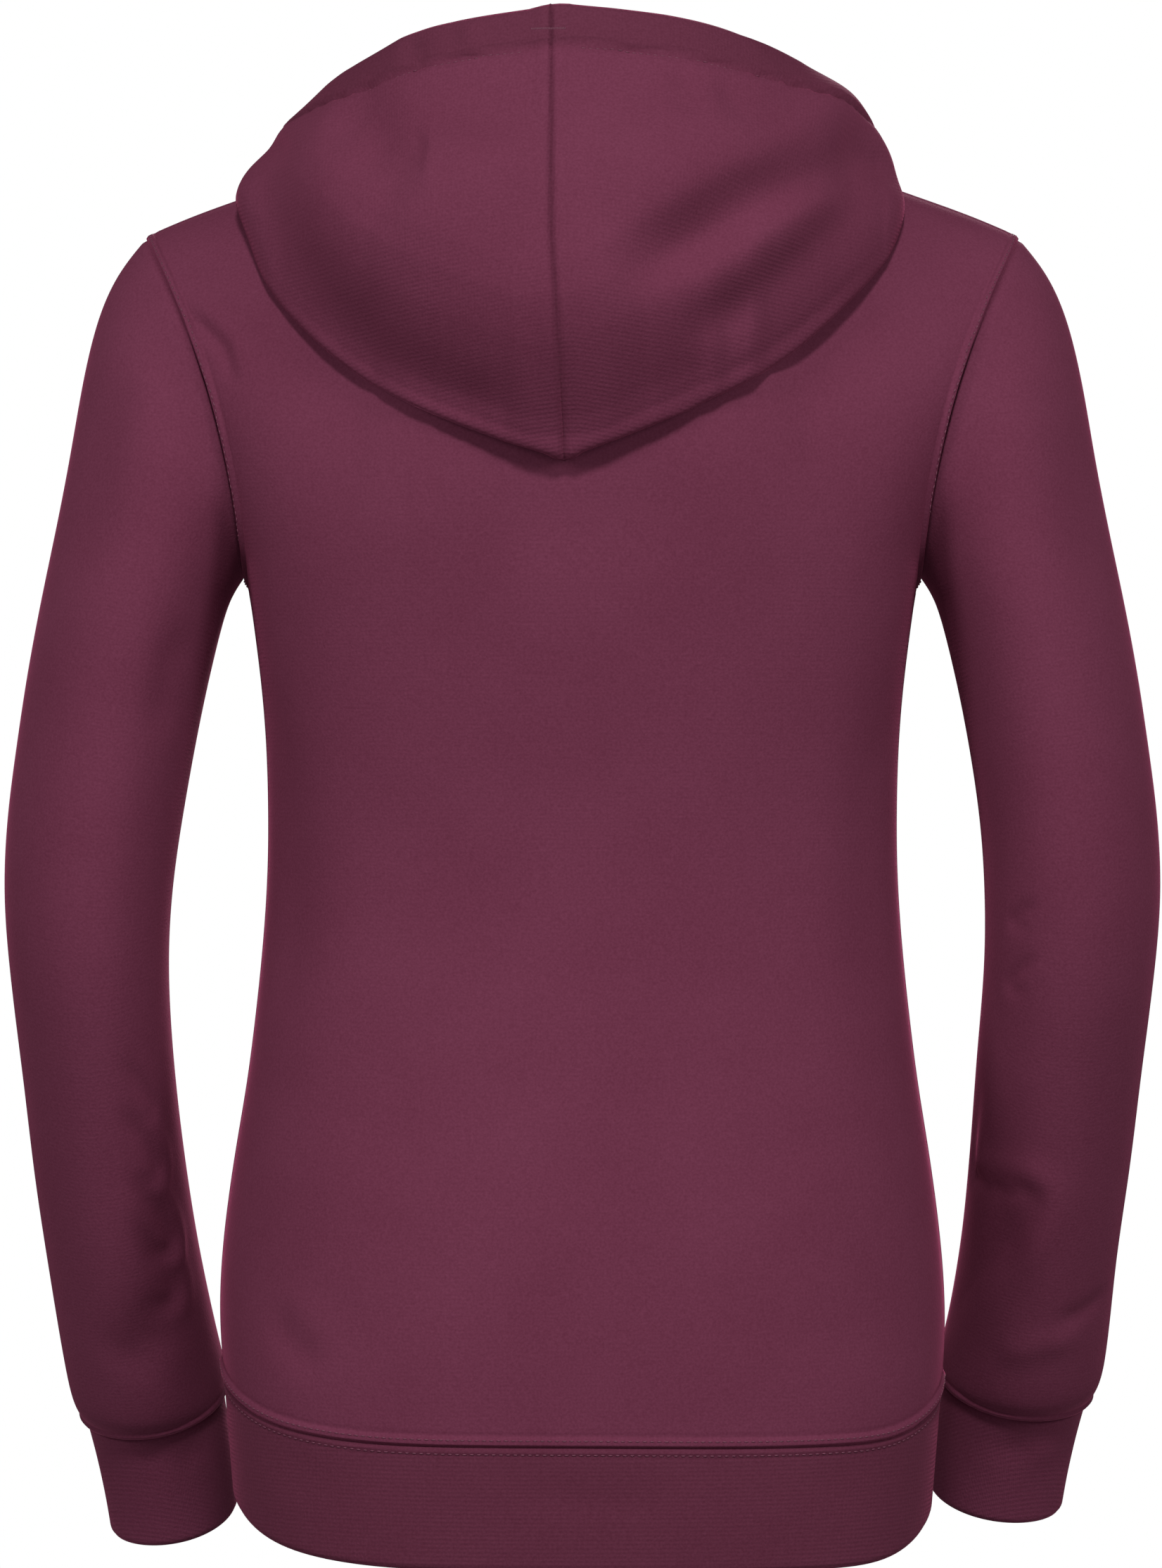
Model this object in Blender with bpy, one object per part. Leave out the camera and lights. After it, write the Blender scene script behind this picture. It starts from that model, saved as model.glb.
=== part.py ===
"""A zip-up hooded sweatshirt, closed and filled out as if worn, with nobody in it.

The cloth is first laid out as one thin form: a net of points that runs over the torso, the
sleeves, the cuffs, the waistband and the lowered hood. Each sewn piece is then cut out of that
form, drawn back a little from its seams, and given its wall on the inside.

Frame: +Z up, the front faces -Y, the wearer's left is +X. The origin is between the shoulders,
level with the top of the shoulder seams, where the wearer holds the garment up. The tables are
in millimetres and mm() turns them to metres.
"""

from math import cos, pi, radians, sin

import bmesh
import bpy
from mathutils import Matrix, Vector
from mathutils.bvhtree import BVHTree

# Cloth walls and the gaps between pieces, in millimetres
BODY_WALL = 2.2
HOOD_WALL = 2.0
BAND_WALL = 2.6
SEAM_GAP = 0.3
VALLEY = 0.75
LEAST_SPREAD = 0.3

# How many strips each stretch of the form is divided into
QUARTER = 10
NECK_QUARTER = 5
BODY_ROWS = 14
YOKE_ROWS = 10
ARM_ROUND = 2 * YOKE_ROWS
ARM_STEPS_A_ROW = 2
BAND_ROWS = 3
HOOD_ROWS = (2, 4, 4, 4, 4, 3)
HOOD_STRIPS_A_STRIP = 2

# Main places, in millimetres
UNDERARM_Z = -215
BAND_SEAM_Z = -595
BAND_EDGE_Z = -653
FRONT_EDGE_X = 6
NECK_SIDE = (77, -2, 2)
NECK_BACK = (0, 58, -12)
NECK_FRONT = (FRONT_EDGE_X, -84, -76)
NECK_DIP = 1.4
BACK_MIDDLE = ((0, 104, UNDERARM_Z), (0, 110, -150), (0, 92, -34), NECK_BACK)
FRONT_MIDDLE = ((FRONT_EDGE_X, -112, UNDERARM_Z), (FRONT_EDGE_X, -117, -165),
                (FRONT_EDGE_X, -102, -108), NECK_FRONT)
HEM_DROP_TOP_Z = -430
ARM_EGG = 0.1
TINY = 1e-6

# How the form is evened out: above which height, how many rounds, and each round's two factors
RELAX_ABOVE_Z = -300
BODY_RELAX = 4
HOOD_RELAX = 3
RELAX_FACTORS = (0.5, -0.51)


def table(names, *rows):
    """Rows of numbers as dictionaries, under the column names given."""
    return [dict(zip(names.split(), row)) for row in rows]


# Half sizes of the torso at each height, and how square its section is (2 is an ellipse)
TORSO = table(
    "z half_width back front square",
    (-653, 169.0, 110, 106, 2.6),
    (-622, 171.5, 112, 108, 2.6),
    (-595, 173.5, 113, 109, 2.6),
    (-561, 175.5, 114, 110, 2.6),
    (-527, 172.7, 112, 108, 2.5),
    (-493, 168.0, 108, 105, 2.5),
    (-459, 162.0, 103, 101, 2.5),
    (-391, 154.2, 94, 98, 2.5),
    (-340, 151.6, 92, 100, 2.6),
    (-272, 154.2, 98, 108, 2.8),
    (-215, 162.0, 104, 112, 3.0),
)

# How far the waistband hangs below its side level, from the front round to the back
HEM_DROP = table(
    "angle left right",
    (0, -4, -4),
    (45, -6, -4),
    (90, 0, 7),
    (125, 20, 27),
    (150, 27, 29),
    (180, 28, 28),
)

# Arm sections from the armhole to the cuff seam: the point nearest the body, the outermost
# point, the middle's place front to back, half the depth, the slope of the section and how far
# its back and front are hollowed towards the body. The right sleeve's point nearest the body
# lies nearer and higher by the last two columns
SLEEVE = table(
    "row in_x in_z out_x out_z mid_y depth lean hollow nearer higher",
    (0, 162.0, -215, 213.0, -49, -2, 62, 0.00, 11, 0, 0),
    (1, 165.5, -219, 236.0, -89, -1, 65, 0.00, 7, 0, 0),
    (2, 168.5, -224, 248.5, -160, 1, 66, 0.00, 3, 0, 0),
    (3, 173.0, -236, 260.5, -219, 3, 65, 0.00, 0, 0, 0),
    (4, 182.0, -275, 269.5, -268, 5, 61, 0.02, 0, 0, 0),
    (5, 191.5, -326, 277.0, -322, 7, 57, 0.05, 0, 1, 0),
    (6, 197.5, -368, 279.5, -366, 6, 54, 0.12, 0, 4, 0),
    (7, 199.5, -408, 276.5, -410, 0, 50, 0.24, 0, 6, 0),
    (8, 198.0, -453, 272.0, -458, -16, 47.5, 0.34, 0, 7, 0),
    (9, 194.0, -500, 268.0, -507, -34, 46, 0.38, 0, 5, 0),
    (10, 188.0, -548, 262.5, -556, -54, 45, 0.40, 0, 2, 0),
    (11, 180.5, -590, 257.0, -601, -73, 43, 0.40, 0, 0, 2),
    (12, 176.5, -610, 253.0, -622, -82, 41, 0.40, 0, 0, 6),
    (13, 178.0, -619, 247.0, -631, -86, 34, 0.40, 0, 0, 9),
)
CUFF = table(
    "row in_x in_z out_x out_z mid_y depth lean hollow nearer higher",
    (0, 178.0, -619, 247.0, -631, -86, 34, 0.40, 0, 0, 9),
    (1, 175.5, -640, 242.5, -651, -94, 31, 0.40, 0, 0, 6),
    (2, 173.5, -659, 239.0, -671, -102, 30, 0.40, 0, 0, 3),
    (3, 172.0, -678, 236.5, -690, -109, 30, 0.40, 0, 0, 0),
)
ELBOW_Z = -366
FOREARM_REACH = {"left": 0.99, "right": 0.955}
CUFF_OUT = {"left": 0, "right": 4}
CUFF_OUT_Z = (-540, -600)

# The lowered hood from the zip round to the centre seam, by its share of the neck seam: where it
# folds back on itself, where its opening edge lies, how far the outer layer puffs out, how high
# and how far out the cloth stands over the neck seam before it turns down, and how much higher
# the fold is on the right
HOOD = table(
    "share fold_x fold_y fold_z edge_x edge_y edge_z puff rise out raised",
    (0.00, 7, -92, -66, 7, -93, -52, 0, 3, 3, 0),
    (0.20, 66, -98, -62, 62, -84, -14, 8, 4, 8, 0),
    (0.36, 122, -66, -54, 110, -42, 4, 10, 9, 10, 0),
    (0.50, 150, 4, -28, 127, 8, 11, 12, 13, 12, 0),
    (0.57, 153, 50, -57, 120, 31, 19, 14, 15, 13, 4),
    (0.66, 137, 88, -90, 105, 57, 28, 18, 18, 14, 12),
    (0.80, 88, 114, -133, 66, 88, 42, 24, 24, 16, 9),
    (1.00, 0, 122, -166, 0, 102, 51.5, 28, 26, 18, 0),
)
HOOD_LAY = 4.5
HOOD_UNDER = 0.55
HOOD_BELLY = 0.28
HOOD_UPPER = (0.66, 0.8)
HOOD_SHIFT = 3.5
SEAM_LEAN_TIP = 1
SEAM_LEAN_TOP = 9
SEAM_LEAN_WIDTH = 90
HOOD_EDGE_TOP_Z = 51
HOOD_TIP_Z = -163
FREE_LENGTH = (5, 60)
FREE_Y = (-60, 20)

# Zip: tapes behind the front edges, a chain of teeth between them, and the slider at the top
TAPE_INNER_X = 1.7
TAPE_OUTER_X = 15
TAPE_WALL = 0.9
TAPE_GAP = 0.4
TAPE_TOP_INSET = 4
CHAIN_HALF_WIDTH = 2.8
CHAIN_BACK = -2.7
CHAIN_FRONT = 0.3
SLIDER_Z = -96
SLIDER_HALF_WIDTH = 4.6
SLIDER_LENGTH = 15
PLATE_WALL = 1.5
PLATE_FRONT = 0.7
SLIDER_GAP = 0.7
POST_HALF_WIDTH = 1.3
POST_SPAN = (1.3, 6)
SUNK = 0.5
HINGE_STAND = 4.4
BAR_RADIUS = 0.8
BAR_SIDES = 22
PIN_INSET = 0.3
LUG_WALL = 1.3
LUG_GAP = 0.4
LUG_OVER_HINGE = 1.5
LUG_HALF_LENGTH = 1.6
SLOT_FLOOR = 0.15
EYE_HOLE_RADIUS = 1.15
EYE_RADIUS = 2.0
EYE_HALF_WIDTH = 1.8
PULL_LENGTH = 27
PULL_HALF_WIDTH = 3.9
PULL_NECK_HALF_WIDTH = 1.7
PULL_SHOULDER = -5
PULL_FRAME = 2
PULL_WINDOW = (-24, -12)
PULL_WALL = 1.6
PULL_TILT = radians(-5)

FLEECE = ("fleece", (0.133, 0.034, 0.062, 1), 0.9, 0.0)
TAPE_CLOTH = ("tape_cloth", (0.110, 0.028, 0.050, 1), 0.8, 0.0)
NICKEL = ("nickel", (0.35, 0.33, 0.31, 1), 0.32, 1.0)

PIECES = (
    "back", "front_left", "front_right", "sleeve_left", "sleeve_right",
    "cuff_left", "cuff_right", "waistband", "hood_left", "hood_right",
)
SIDES = {"left": 1, "right": -1}


def mm(x, y, z):
    """A point given in millimetres, as a vector in metres."""
    return Vector((x, y, z)) / 1000


def clear_scene():
    for old in list(bpy.data.objects):
        bpy.data.objects.remove(old)


def new_collection(name):
    collection = bpy.data.collections.new(name)
    bpy.context.scene.collection.children.link(collection)
    return collection


def new_material(finish):
    name, colour, roughness, metallic = finish
    material = bpy.data.materials.new(name)
    material.use_nodes = True
    shader = material.node_tree.nodes["Principled BSDF"]
    shader.inputs["Base Color"].default_value = colour
    shader.inputs["Roughness"].default_value = roughness
    shader.inputs["Metallic"].default_value = metallic
    return material


def new_object(name, bm, material, collection):
    mesh = bpy.data.meshes.new(name)
    bm.to_mesh(mesh)
    bm.free()
    mesh.shade_smooth()
    mesh.set_sharp_from_angle(angle=radians(40))
    mesh.materials.append(material)
    obj = bpy.data.objects.new(name, mesh)
    collection.objects.link(obj)
    return obj


# ---------------------------------------------------------------- curves


def hermite(start, end, start_slope, end_slope, t):
    """A cubic between two values that leaves and arrives with the slopes given."""
    rest = 1 - t
    ends = start * (1 + 2 * t) * rest * rest + end * (3 - 2 * t) * t * t
    return ends + start_slope * t * rest * rest - end_slope * t * t * rest


def read(rows, key, at):
    """A table's row at a value of its key column, curved smoothly between the rows given."""
    place = sum(row[key] <= at for row in rows) - 1
    i = max(0, min(len(rows) - 2, place))
    here, after = rows[i], rows[i + 1]
    before = rows[max(i - 1, 0)]
    beyond = rows[min(i + 2, len(rows) - 1)]
    span = after[key] - here[key]
    t = (at - here[key]) / span
    found = {}
    for name in here:
        leaving = (after[name] - before[name]) / (after[key] - before[key]) * span
        arriving = (beyond[name] - here[name]) / (beyond[key] - here[key]) * span
        found[name] = hermite(here[name], after[name], leaving, arriving, t)
    return found


def smooth_line(points, steps):
    """Points on a curve through the ones given, with a number of steps for each stretch."""
    line = [points[0].copy()]
    for i, count in enumerate(steps):
        here, after = points[i], points[i + 1]
        before = points[max(i - 1, 0)]
        beyond = points[min(i + 2, len(points) - 1)]
        for k in range(1, count + 1):
            line.append(hermite(here, after, (after - before) / 2, (beyond - here) / 2, k / count))
    return line


def fade(value, start, end):
    """0 before the start value, 1 past the end value, and even between them."""
    return min(1, max(0, (value - start) / (end - start)))


def bezier(a, b, c, d, t):
    rest = 1 - t
    return a * rest ** 3 + b * 3 * t * rest ** 2 + c * 3 * t * t * rest + d * t ** 3


# ---------------------------------------------------------------- the torso


def side_name(side):
    return "left" if side > 0 else "right"


def torso_ring(z, facing, side):
    """Points from the centre of the front or back (facing -1 or 1) round to the side seam."""
    row = read(TORSO, "z", z)
    start_x = FRONT_EDGE_X if facing < 0 else 0
    depth = row["back"] if facing > 0 else row["front"]
    hang = fade(z, HEM_DROP_TOP_Z, BAND_SEAM_Z)
    points = []
    for j in range(QUARTER + 1):
        angle = j / QUARTER * pi / 2
        x = start_x + (row["half_width"] - start_x) * sin(angle) ** (2 / row["square"])
        y = depth * max(0, cos(angle)) ** (2 / row["square"])
        turn = 90 + facing * (90 - 90 * j / QUARTER)
        drop = read(HEM_DROP, "angle", turn)[side_name(side)] * hang * hang * (3 - 2 * hang)
        points.append(mm(side * x, facing * y, z - drop))
    return points


def arm_ring(row, side):
    """One section of an arm, from the underarm round the back, the top and the front."""
    points = []
    for j in range(ARM_ROUND):
        turn = 2 * pi * j / ARM_ROUND
        out = (1 - cos(turn)) / 2
        reach_y = row["depth"] * sin(turn) * (1 + ARM_EGG * cos(turn))
        x = row["in_x"] + (row["out_x"] - row["in_x"]) * out - row["hollow"] * sin(turn) ** 2
        z = row["in_z"] + (row["out_z"] - row["in_z"]) * out - row["lean"] * reach_y
        points.append(mm(side * x, row["mid_y"] + reach_y, z))
    return points


def top_edge(facing, side):
    """The neckline from the centre to the top of the shoulder, then the shoulder seam."""
    neck_x, neck_y, neck_z = NECK_SIDE
    neck_side = mm(side * neck_x, neck_y, neck_z)
    centre_x, centre_y, centre_z = NECK_BACK if facing > 0 else NECK_FRONT
    centre = mm(side * centre_x, centre_y, centre_z)
    shoulder = arm_ring(SLEEVE[0], side)[YOKE_ROWS]
    points = []
    for j in range(NECK_QUARTER):
        turn = j / NECK_QUARTER * pi / 2
        points.append(Vector((
            centre.x + (neck_side.x - centre.x) * sin(turn),
            neck_side.y + (centre.y - neck_side.y) * cos(turn),
            neck_side.z + (centre.z - neck_side.z) * cos(turn) ** NECK_DIP,
        )))
    for j in range(QUARTER - NECK_QUARTER + 1):
        points.append(neck_side.lerp(shoulder, j / (QUARTER - NECK_QUARTER)))
    return points


def centre_line(facing, side):
    """The middle of the upper back or upper front, from underarm level to the neckline."""
    points = BACK_MIDDLE if facing > 0 else FRONT_MIDDLE
    ends = [mm(side * x, y, z) for x, y, z in points]
    return [bezier(*ends, i / YOKE_ROWS) for i in range(YOKE_ROWS + 1)]


def yoke_rows(facing, side):
    """The torso above the underarm, spanned between its level, the armhole, the top and the
    centre line."""
    bottom = torso_ring(UNDERARM_Z, facing, side)
    top = top_edge(facing, side)
    centre = centre_line(facing, side)
    ring = arm_ring(SLEEVE[0], side)
    armhole = [ring[(facing * i) % ARM_ROUND] for i in range(YOKE_ROWS + 1)]
    bottom[-1] = armhole[0]
    rows = []
    for i in range(YOKE_ROWS + 1):
        t = i / YOKE_ROWS
        row = []
        for j in range(QUARTER + 1):
            c = j / QUARTER
            across = centre[i].lerp(armhole[i], c)
            upward = bottom[j].lerp(top[j], t)
            corners = bottom[0].lerp(bottom[-1], c).lerp(top[0].lerp(top[-1], c), t)
            row.append(across + upward - corners)
        rows.append(row)
    return rows


# ---------------------------------------------------------------- the form


class Form:
    """One thin net of points over the whole garment, each face marked with its piece."""

    def __init__(self):
        self.bm = bmesh.new()
        self.piece = self.bm.faces.layers.int.new("piece")
        self.places = {}

    def vert(self, point):
        key = tuple(round(value, 6) for value in point)
        if key not in self.places:
            self.places[key] = self.bm.verts.new(point)
        return self.places[key]

    def net(self, rows, name, closed=False):
        """Faces between rows of points, or of vertices that are in the form already."""
        verts = [[p if isinstance(p, bmesh.types.BMVert) else self.vert(p) for p in row]
                 for row in rows]
        count = len(verts[0])
        for lower, upper in zip(verts, verts[1:]):
            for j in range(count if closed else count - 1):
                k = (j + 1) % count
                corners = (lower[j], lower[k], upper[k], upper[j])
                if len(set(corners)) == 4:
                    face = self.bm.faces.new(corners)
                    face[self.piece] = PIECES.index(name)
        return verts

    def face_out(self):
        """Turns every face outward. The one furthest back tells which way that is."""
        bmesh.ops.recalc_face_normals(self.bm, faces=self.bm.faces)
        self.bm.normal_update()
        rearmost = max(self.bm.faces, key=lambda face: face.calc_center_median().y)
        if rearmost.normal.y < 0:
            bmesh.ops.reverse_faces(self.bm, faces=self.bm.faces)

    def relax(self, verts, rounds):
        """Evens the net out. Each round shrinks it and then swells it back to its size."""
        for _ in range(rounds):
            for factor in RELAX_FACTORS:
                bmesh.ops.smooth_vert(self.bm, verts=verts, factor=factor, use_axis_x=True,
                                      use_axis_y=True, use_axis_z=True)


def lay_torso(form):
    """Both fronts, the back and the waistband. Returns the neckline of each side."""
    necklines = {}
    for name, side in SIDES.items():
        neck = {}
        for facing in (-1, 1):
            panel = "back" if facing > 0 else "front_" + name
            levels = [BAND_SEAM_Z + (UNDERARM_Z - BAND_SEAM_Z) * i / BODY_ROWS
                      for i in range(BODY_ROWS + 1)]
            rows = [torso_ring(z, facing, side) for z in levels]
            yoke = yoke_rows(facing, side)
            rows[-1] = yoke[0]
            form.net(rows, panel)
            neck[facing] = form.net(yoke, panel)[-1][:NECK_QUARTER + 1]
            band = [BAND_EDGE_Z + (BAND_SEAM_Z - BAND_EDGE_Z) * i / BAND_ROWS
                    for i in range(BAND_ROWS + 1)]
            form.net([torso_ring(z, facing, side) for z in band], "waistband")
        necklines[name] = neck[-1] + neck[1][-2::-1]
    return necklines


def forearm(row, name):
    """An arm section, with the stretch below the elbow at that side's own length."""
    moved = dict(row)
    if name == "right":
        moved["in_x"] -= row["nearer"]
        moved["in_z"] += row["higher"]
    moved["out_x"] += CUFF_OUT[name] * fade(row["in_z"], *CUFF_OUT_Z)
    for column in ("in_z", "out_z"):
        below = min(0, row[column] - ELBOW_Z)
        moved[column] = row[column] - below + below * FOREARM_REACH[name]
    return moved


def lay_sleeves(form):
    for name, side in SIDES.items():
        steps = (len(SLEEVE) - 1) * ARM_STEPS_A_ROW
        arm = [forearm(read(SLEEVE, "row", k / ARM_STEPS_A_ROW), name) for k in range(steps + 1)]
        form.net([arm_ring(row, side) for row in arm], "sleeve_" + name, closed=True)
        cuff = [forearm(row, name) for row in CUFF]
        form.net([arm_ring(row, side) for row in cuff], "cuff_" + name, closed=True)


def keep_off(point, tree, stand):
    """A point moved out until it is at least a distance from the outside of a surface."""
    place, normal, _, _ = tree.find_nearest(point)
    height = (point - place).dot(normal)
    if height >= stand:
        return point
    return point + normal * (stand - height)


def hood_line(share, neck, side, tree):
    """One line of hood cloth from the neck seam out, down, back up and to the opening edge."""
    row = read(HOOD, "share", share)
    lay = HOOD_LAY / 1000
    raised = row["raised"] if side < 0 else 0
    fold = mm(side * row["fold_x"], row["fold_y"], row["fold_z"] + raised)
    edge = mm(side * row["edge_x"], row["edge_y"], row["edge_z"])
    fold = keep_off(fold, tree, lay)
    out = Vector((fold.x, fold.y, 0)).normalized()
    crest = neck + out * row["out"] / 1000 + Vector((0, 0, row["rise"] / 1000))
    under = keep_off(crest.lerp(fold, HOOD_UNDER), tree, lay)
    puff = out * row["puff"] / 1000
    belly = fold.lerp(edge, HOOD_BELLY) + puff
    upper = fold.lerp(edge, HOOD_UPPER[0]) + puff * HOOD_UPPER[1]
    line = smooth_line([neck, crest, under, fold, belly, upper, edge], HOOD_ROWS)
    return [line[0], line[1]] + [keep_off(point, tree, lay) for point in line[2:]]


def hang_aside(point, neck):
    """The hood hangs a little to the left, and its centre seam leans further at the top.

    It does so only away from the neck seam, and only round the sides and the back.
    """
    x, y, z = point * 1000
    lean = SEAM_LEAN_TIP + (SEAM_LEAN_TOP - SEAM_LEAN_TIP) * fade(z, HOOD_TIP_Z, HOOD_EDGE_TOP_Z)
    middle = max(0, 1 - (x / SEAM_LEAN_WIDTH) ** 2) ** 2
    free = fade((point - neck).length * 1000, *FREE_LENGTH) * fade(y, *FREE_Y)
    return point + Vector((free * (HOOD_SHIFT + lean * middle) / 1000, 0, 0))


def split_strips(verts, count):
    """The places of a row of vertices, with more between them on straight lines."""
    places = [verts[0].co.copy()]
    for here, after in zip(verts, verts[1:]):
        places += [here.co.lerp(after.co, k / count) for k in range(1, count + 1)]
    return places


def lay_hood(form, necklines, tree):
    """Both halves of the hood, which share the points of the centre seam."""
    count = 2 * NECK_QUARTER * HOOD_STRIPS_A_STRIP
    centre_neck = necklines["left"][-1].co.copy()
    centre_seam = hood_line(1, centre_neck, 1, tree)
    for name, side in SIDES.items():
        neck = split_strips(necklines[name], HOOD_STRIPS_A_STRIP)
        lines = [hood_line(k / count, neck[k], side, tree) for k in range(count)]
        lines.append(centre_seam)
        for k, line in enumerate(lines):
            lines[k] = [line[0]] + [hang_aside(point, neck[k]) for point in line[1:]]
        rows = [list(row) for row in zip(*lines)]
        for k, vert in enumerate(necklines[name]):
            rows[0][k * HOOD_STRIPS_A_STRIP] = vert
        form.net(rows, "hood_" + name)


def inner_verts(form, names):
    """The form's vertices that only faces of the named pieces touch, away from open edges."""
    wanted = {PIECES.index(name) for name in names}
    return [v for v in form.bm.verts
            if not v.is_boundary and all(face[form.piece] in wanted for face in v.link_faces)]


def build_form():
    form = Form()
    necklines = lay_torso(form)
    lay_sleeves(form)
    form.face_out()
    upper = [v for v in form.bm.verts if v.co.z > RELAX_ABOVE_Z / 1000 and not v.is_boundary]
    form.relax(upper, BODY_RELAX)
    form.bm.normal_update()
    tree = BVHTree.FromBMesh(form.bm)
    lay_hood(form, necklines, tree)
    form.face_out()
    hood = inner_verts(form, ("hood_left", "hood_right"))
    form.relax(hood, HOOD_RELAX)
    for vert in hood:
        vert.co = keep_off(vert.co, tree, HOOD_LAY / 1000)
    form.bm.normal_update()
    return form


# ---------------------------------------------------------------- the cloth pieces


def inward(edge):
    """The direction from a border edge into its own face, square to the edge."""
    face = edge.link_faces[0]
    along = (edge.verts[1].co - edge.verts[0].co).normalized()
    middle = (edge.verts[0].co + edge.verts[1].co) / 2
    into = face.calc_center_median() - middle
    return (into - along * into.dot(along)).normalized()


def draw_back(bm, distance):
    """Moves a panel's border in by a distance, along its own surface."""
    moves = {}
    for vert in bm.verts:
        borders = [inward(edge) for edge in vert.link_edges if edge.is_boundary]
        if len(borders) == 2:
            both = borders[0] + borders[1]
            spread = max(LEAST_SPREAD, 1 + borders[0].dot(borders[1]))
            moves[vert] = both * distance / spread
    for vert, move in moves.items():
        vert.co += move


def cut_piece(form, name, wall):
    """One piece of the form as a closed wall, with its thickness on the inside.

    Pieces that meet share the direction of their walls, apart from the hood where it stands on
    the neck seam, and in a deep valley, as under the arm, where the walls spread apart.
    """
    bm = form.bm.copy()
    piece = bm.faces.layers.int["piece"]
    out = bm.verts.layers.float_vector.new("out")
    is_hood = name.startswith("hood")
    others = [face for face in bm.faces if PIECES[face[piece]].startswith("hood") != is_hood]
    bmesh.ops.delete(bm, geom=others, context="FACES")
    bm.normal_update()
    hollow = set()
    for vert in bm.verts:
        vert[out] = vert.normal
        around = [face.calc_center_median() - vert.co for face in vert.link_faces]
        if sum(way.dot(vert.normal) for way in around) > 0:
            hollow.add(vert)
    others = [face for face in bm.faces if face[piece] != PIECES.index(name)]
    bmesh.ops.delete(bm, geom=others, context="FACES")
    bm.normal_update()
    for vert in bm.verts:
        if vert in hollow and vert.normal.dot(vert[out]) < VALLEY:
            vert[out] = vert.normal
    draw_back(bm, SEAM_GAP / 2000)
    outer = bm.faces[:]
    made = bmesh.ops.extrude_face_region(bm, geom=outer, use_keep_orig=True)
    for vert in made["geom"]:
        if isinstance(vert, bmesh.types.BMVert):
            vert.co -= vert[out] * wall / 1000
    bmesh.ops.recalc_face_normals(bm, faces=bm.faces)
    return bm


def cloth_wall(name):
    if name.startswith("hood"):
        return HOOD_WALL
    if name.startswith("cuff") or name == "waistband":
        return BAND_WALL
    return BODY_WALL


# ---------------------------------------------------------------- the zip


def front_line(form):
    """The left front's edge from the hem to the neck: each point with its outward direction."""
    fronts = {PIECES.index("front_left"), PIECES.index("waistband")}
    edge_x = FRONT_EDGE_X / 1000
    line = [(v.co.copy(), v.normal.copy()) for v in form.bm.verts
            if abs(v.co.x - edge_x) < TINY and v.co.y < 0
            and any(face[form.piece] in fronts for face in v.link_faces)]
    line.sort(key=lambda item: item[0].z)
    flat = []
    for place, normal in line:
        level = Vector((0, normal.y, normal.z)).normalized()
        flat.append((Vector((0, place.y, place.z)), level))
    return flat


def strip(line, x_low, x_high, back, front):
    """A strip along the zip, between two widths and two heights over the cloth's outside."""
    bm = bmesh.new()
    rings = []
    for place, normal in line:
        corners = ((x_low, back), (x_high, back), (x_high, front), (x_low, front))
        rings.append([bm.verts.new(place + Vector((x / 1000, 0, 0)) + normal * height / 1000)
                      for x, height in corners])
    for lower, upper in zip(rings, rings[1:]):
        for j in range(4):
            k = (j + 1) % 4
            bm.faces.new((lower[j], lower[k], upper[k], upper[j]))
    bm.faces.new(rings[0])
    bm.faces.new(rings[-1])
    bmesh.ops.recalc_face_normals(bm, faces=bm.faces)
    return bm


def trimmed(line, z_low, z_high):
    """The part of the zip's line between two heights, with points made at the cuts."""
    kept = []
    for (low, low_normal), (high, high_normal) in zip(line, line[1:]):
        for z in (z_low, z_high):
            if low.z < z < high.z:
                t = (z - low.z) / (high.z - low.z)
                kept.append((low.lerp(high, t), low_normal.lerp(high_normal, t).normalized()))
    kept += [item for item in line if z_low <= item[0].z <= z_high]
    kept.sort(key=lambda item: item[0].z)
    return kept


def block(x_half, back, front, low, high):
    """A box in the slider's own frame: X across, Y out of the cloth, Z up along the chain."""
    bm = bmesh.new()
    centre = Vector((0, (back + front) / 2, (low + high) / 2)) / 1000
    size = (2 * x_half / 1000, (front - back) / 1000, (high - low) / 1000)
    place = Matrix.Translation(centre) @ Matrix.Diagonal((*size, 1))
    bmesh.ops.create_cube(bm, size=1, matrix=place)
    return bm


def bar(radius, x_half, out, up):
    """A round bar across the slider."""
    bm = bmesh.new()
    place = Matrix.Translation(Vector((0, out, up)) / 1000) @ Matrix.Rotation(pi / 2, 4, "Y")
    bmesh.ops.create_cone(bm, cap_ends=True, segments=BAR_SIDES, radius1=radius / 1000,
                          radius2=radius / 1000, depth=2 * x_half / 1000, matrix=place)
    return bm


def join_solids(name, base, steps, material, parts, cutters):
    """A solid made from a base by adding and cutting others, each kept with the cutters."""
    obj = new_object(name, base, material, parts)
    for i, (operation, bm) in enumerate(steps):
        tool = new_object(f"{name}_{operation.lower()}_{i}", bm, material, cutters)
        tool.hide_render = True
        tool.display_type = "WIRE"
        modifier = obj.modifiers.new(operation, "BOOLEAN")
        modifier.operation = operation
        modifier.object = tool
        modifier.solver = "EXACT"
    return obj


def zip_frame(line):
    """Where the slider sits: its place on the chain and its axes."""
    place, out = trimmed(line, SLIDER_Z / 1000, 0)[0]
    across = Vector((-1, 0, 0))
    up = across.cross(out).normalized()
    matrix = Matrix((across, out, up)).transposed().to_4x4()
    matrix.translation = place
    return matrix


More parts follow.
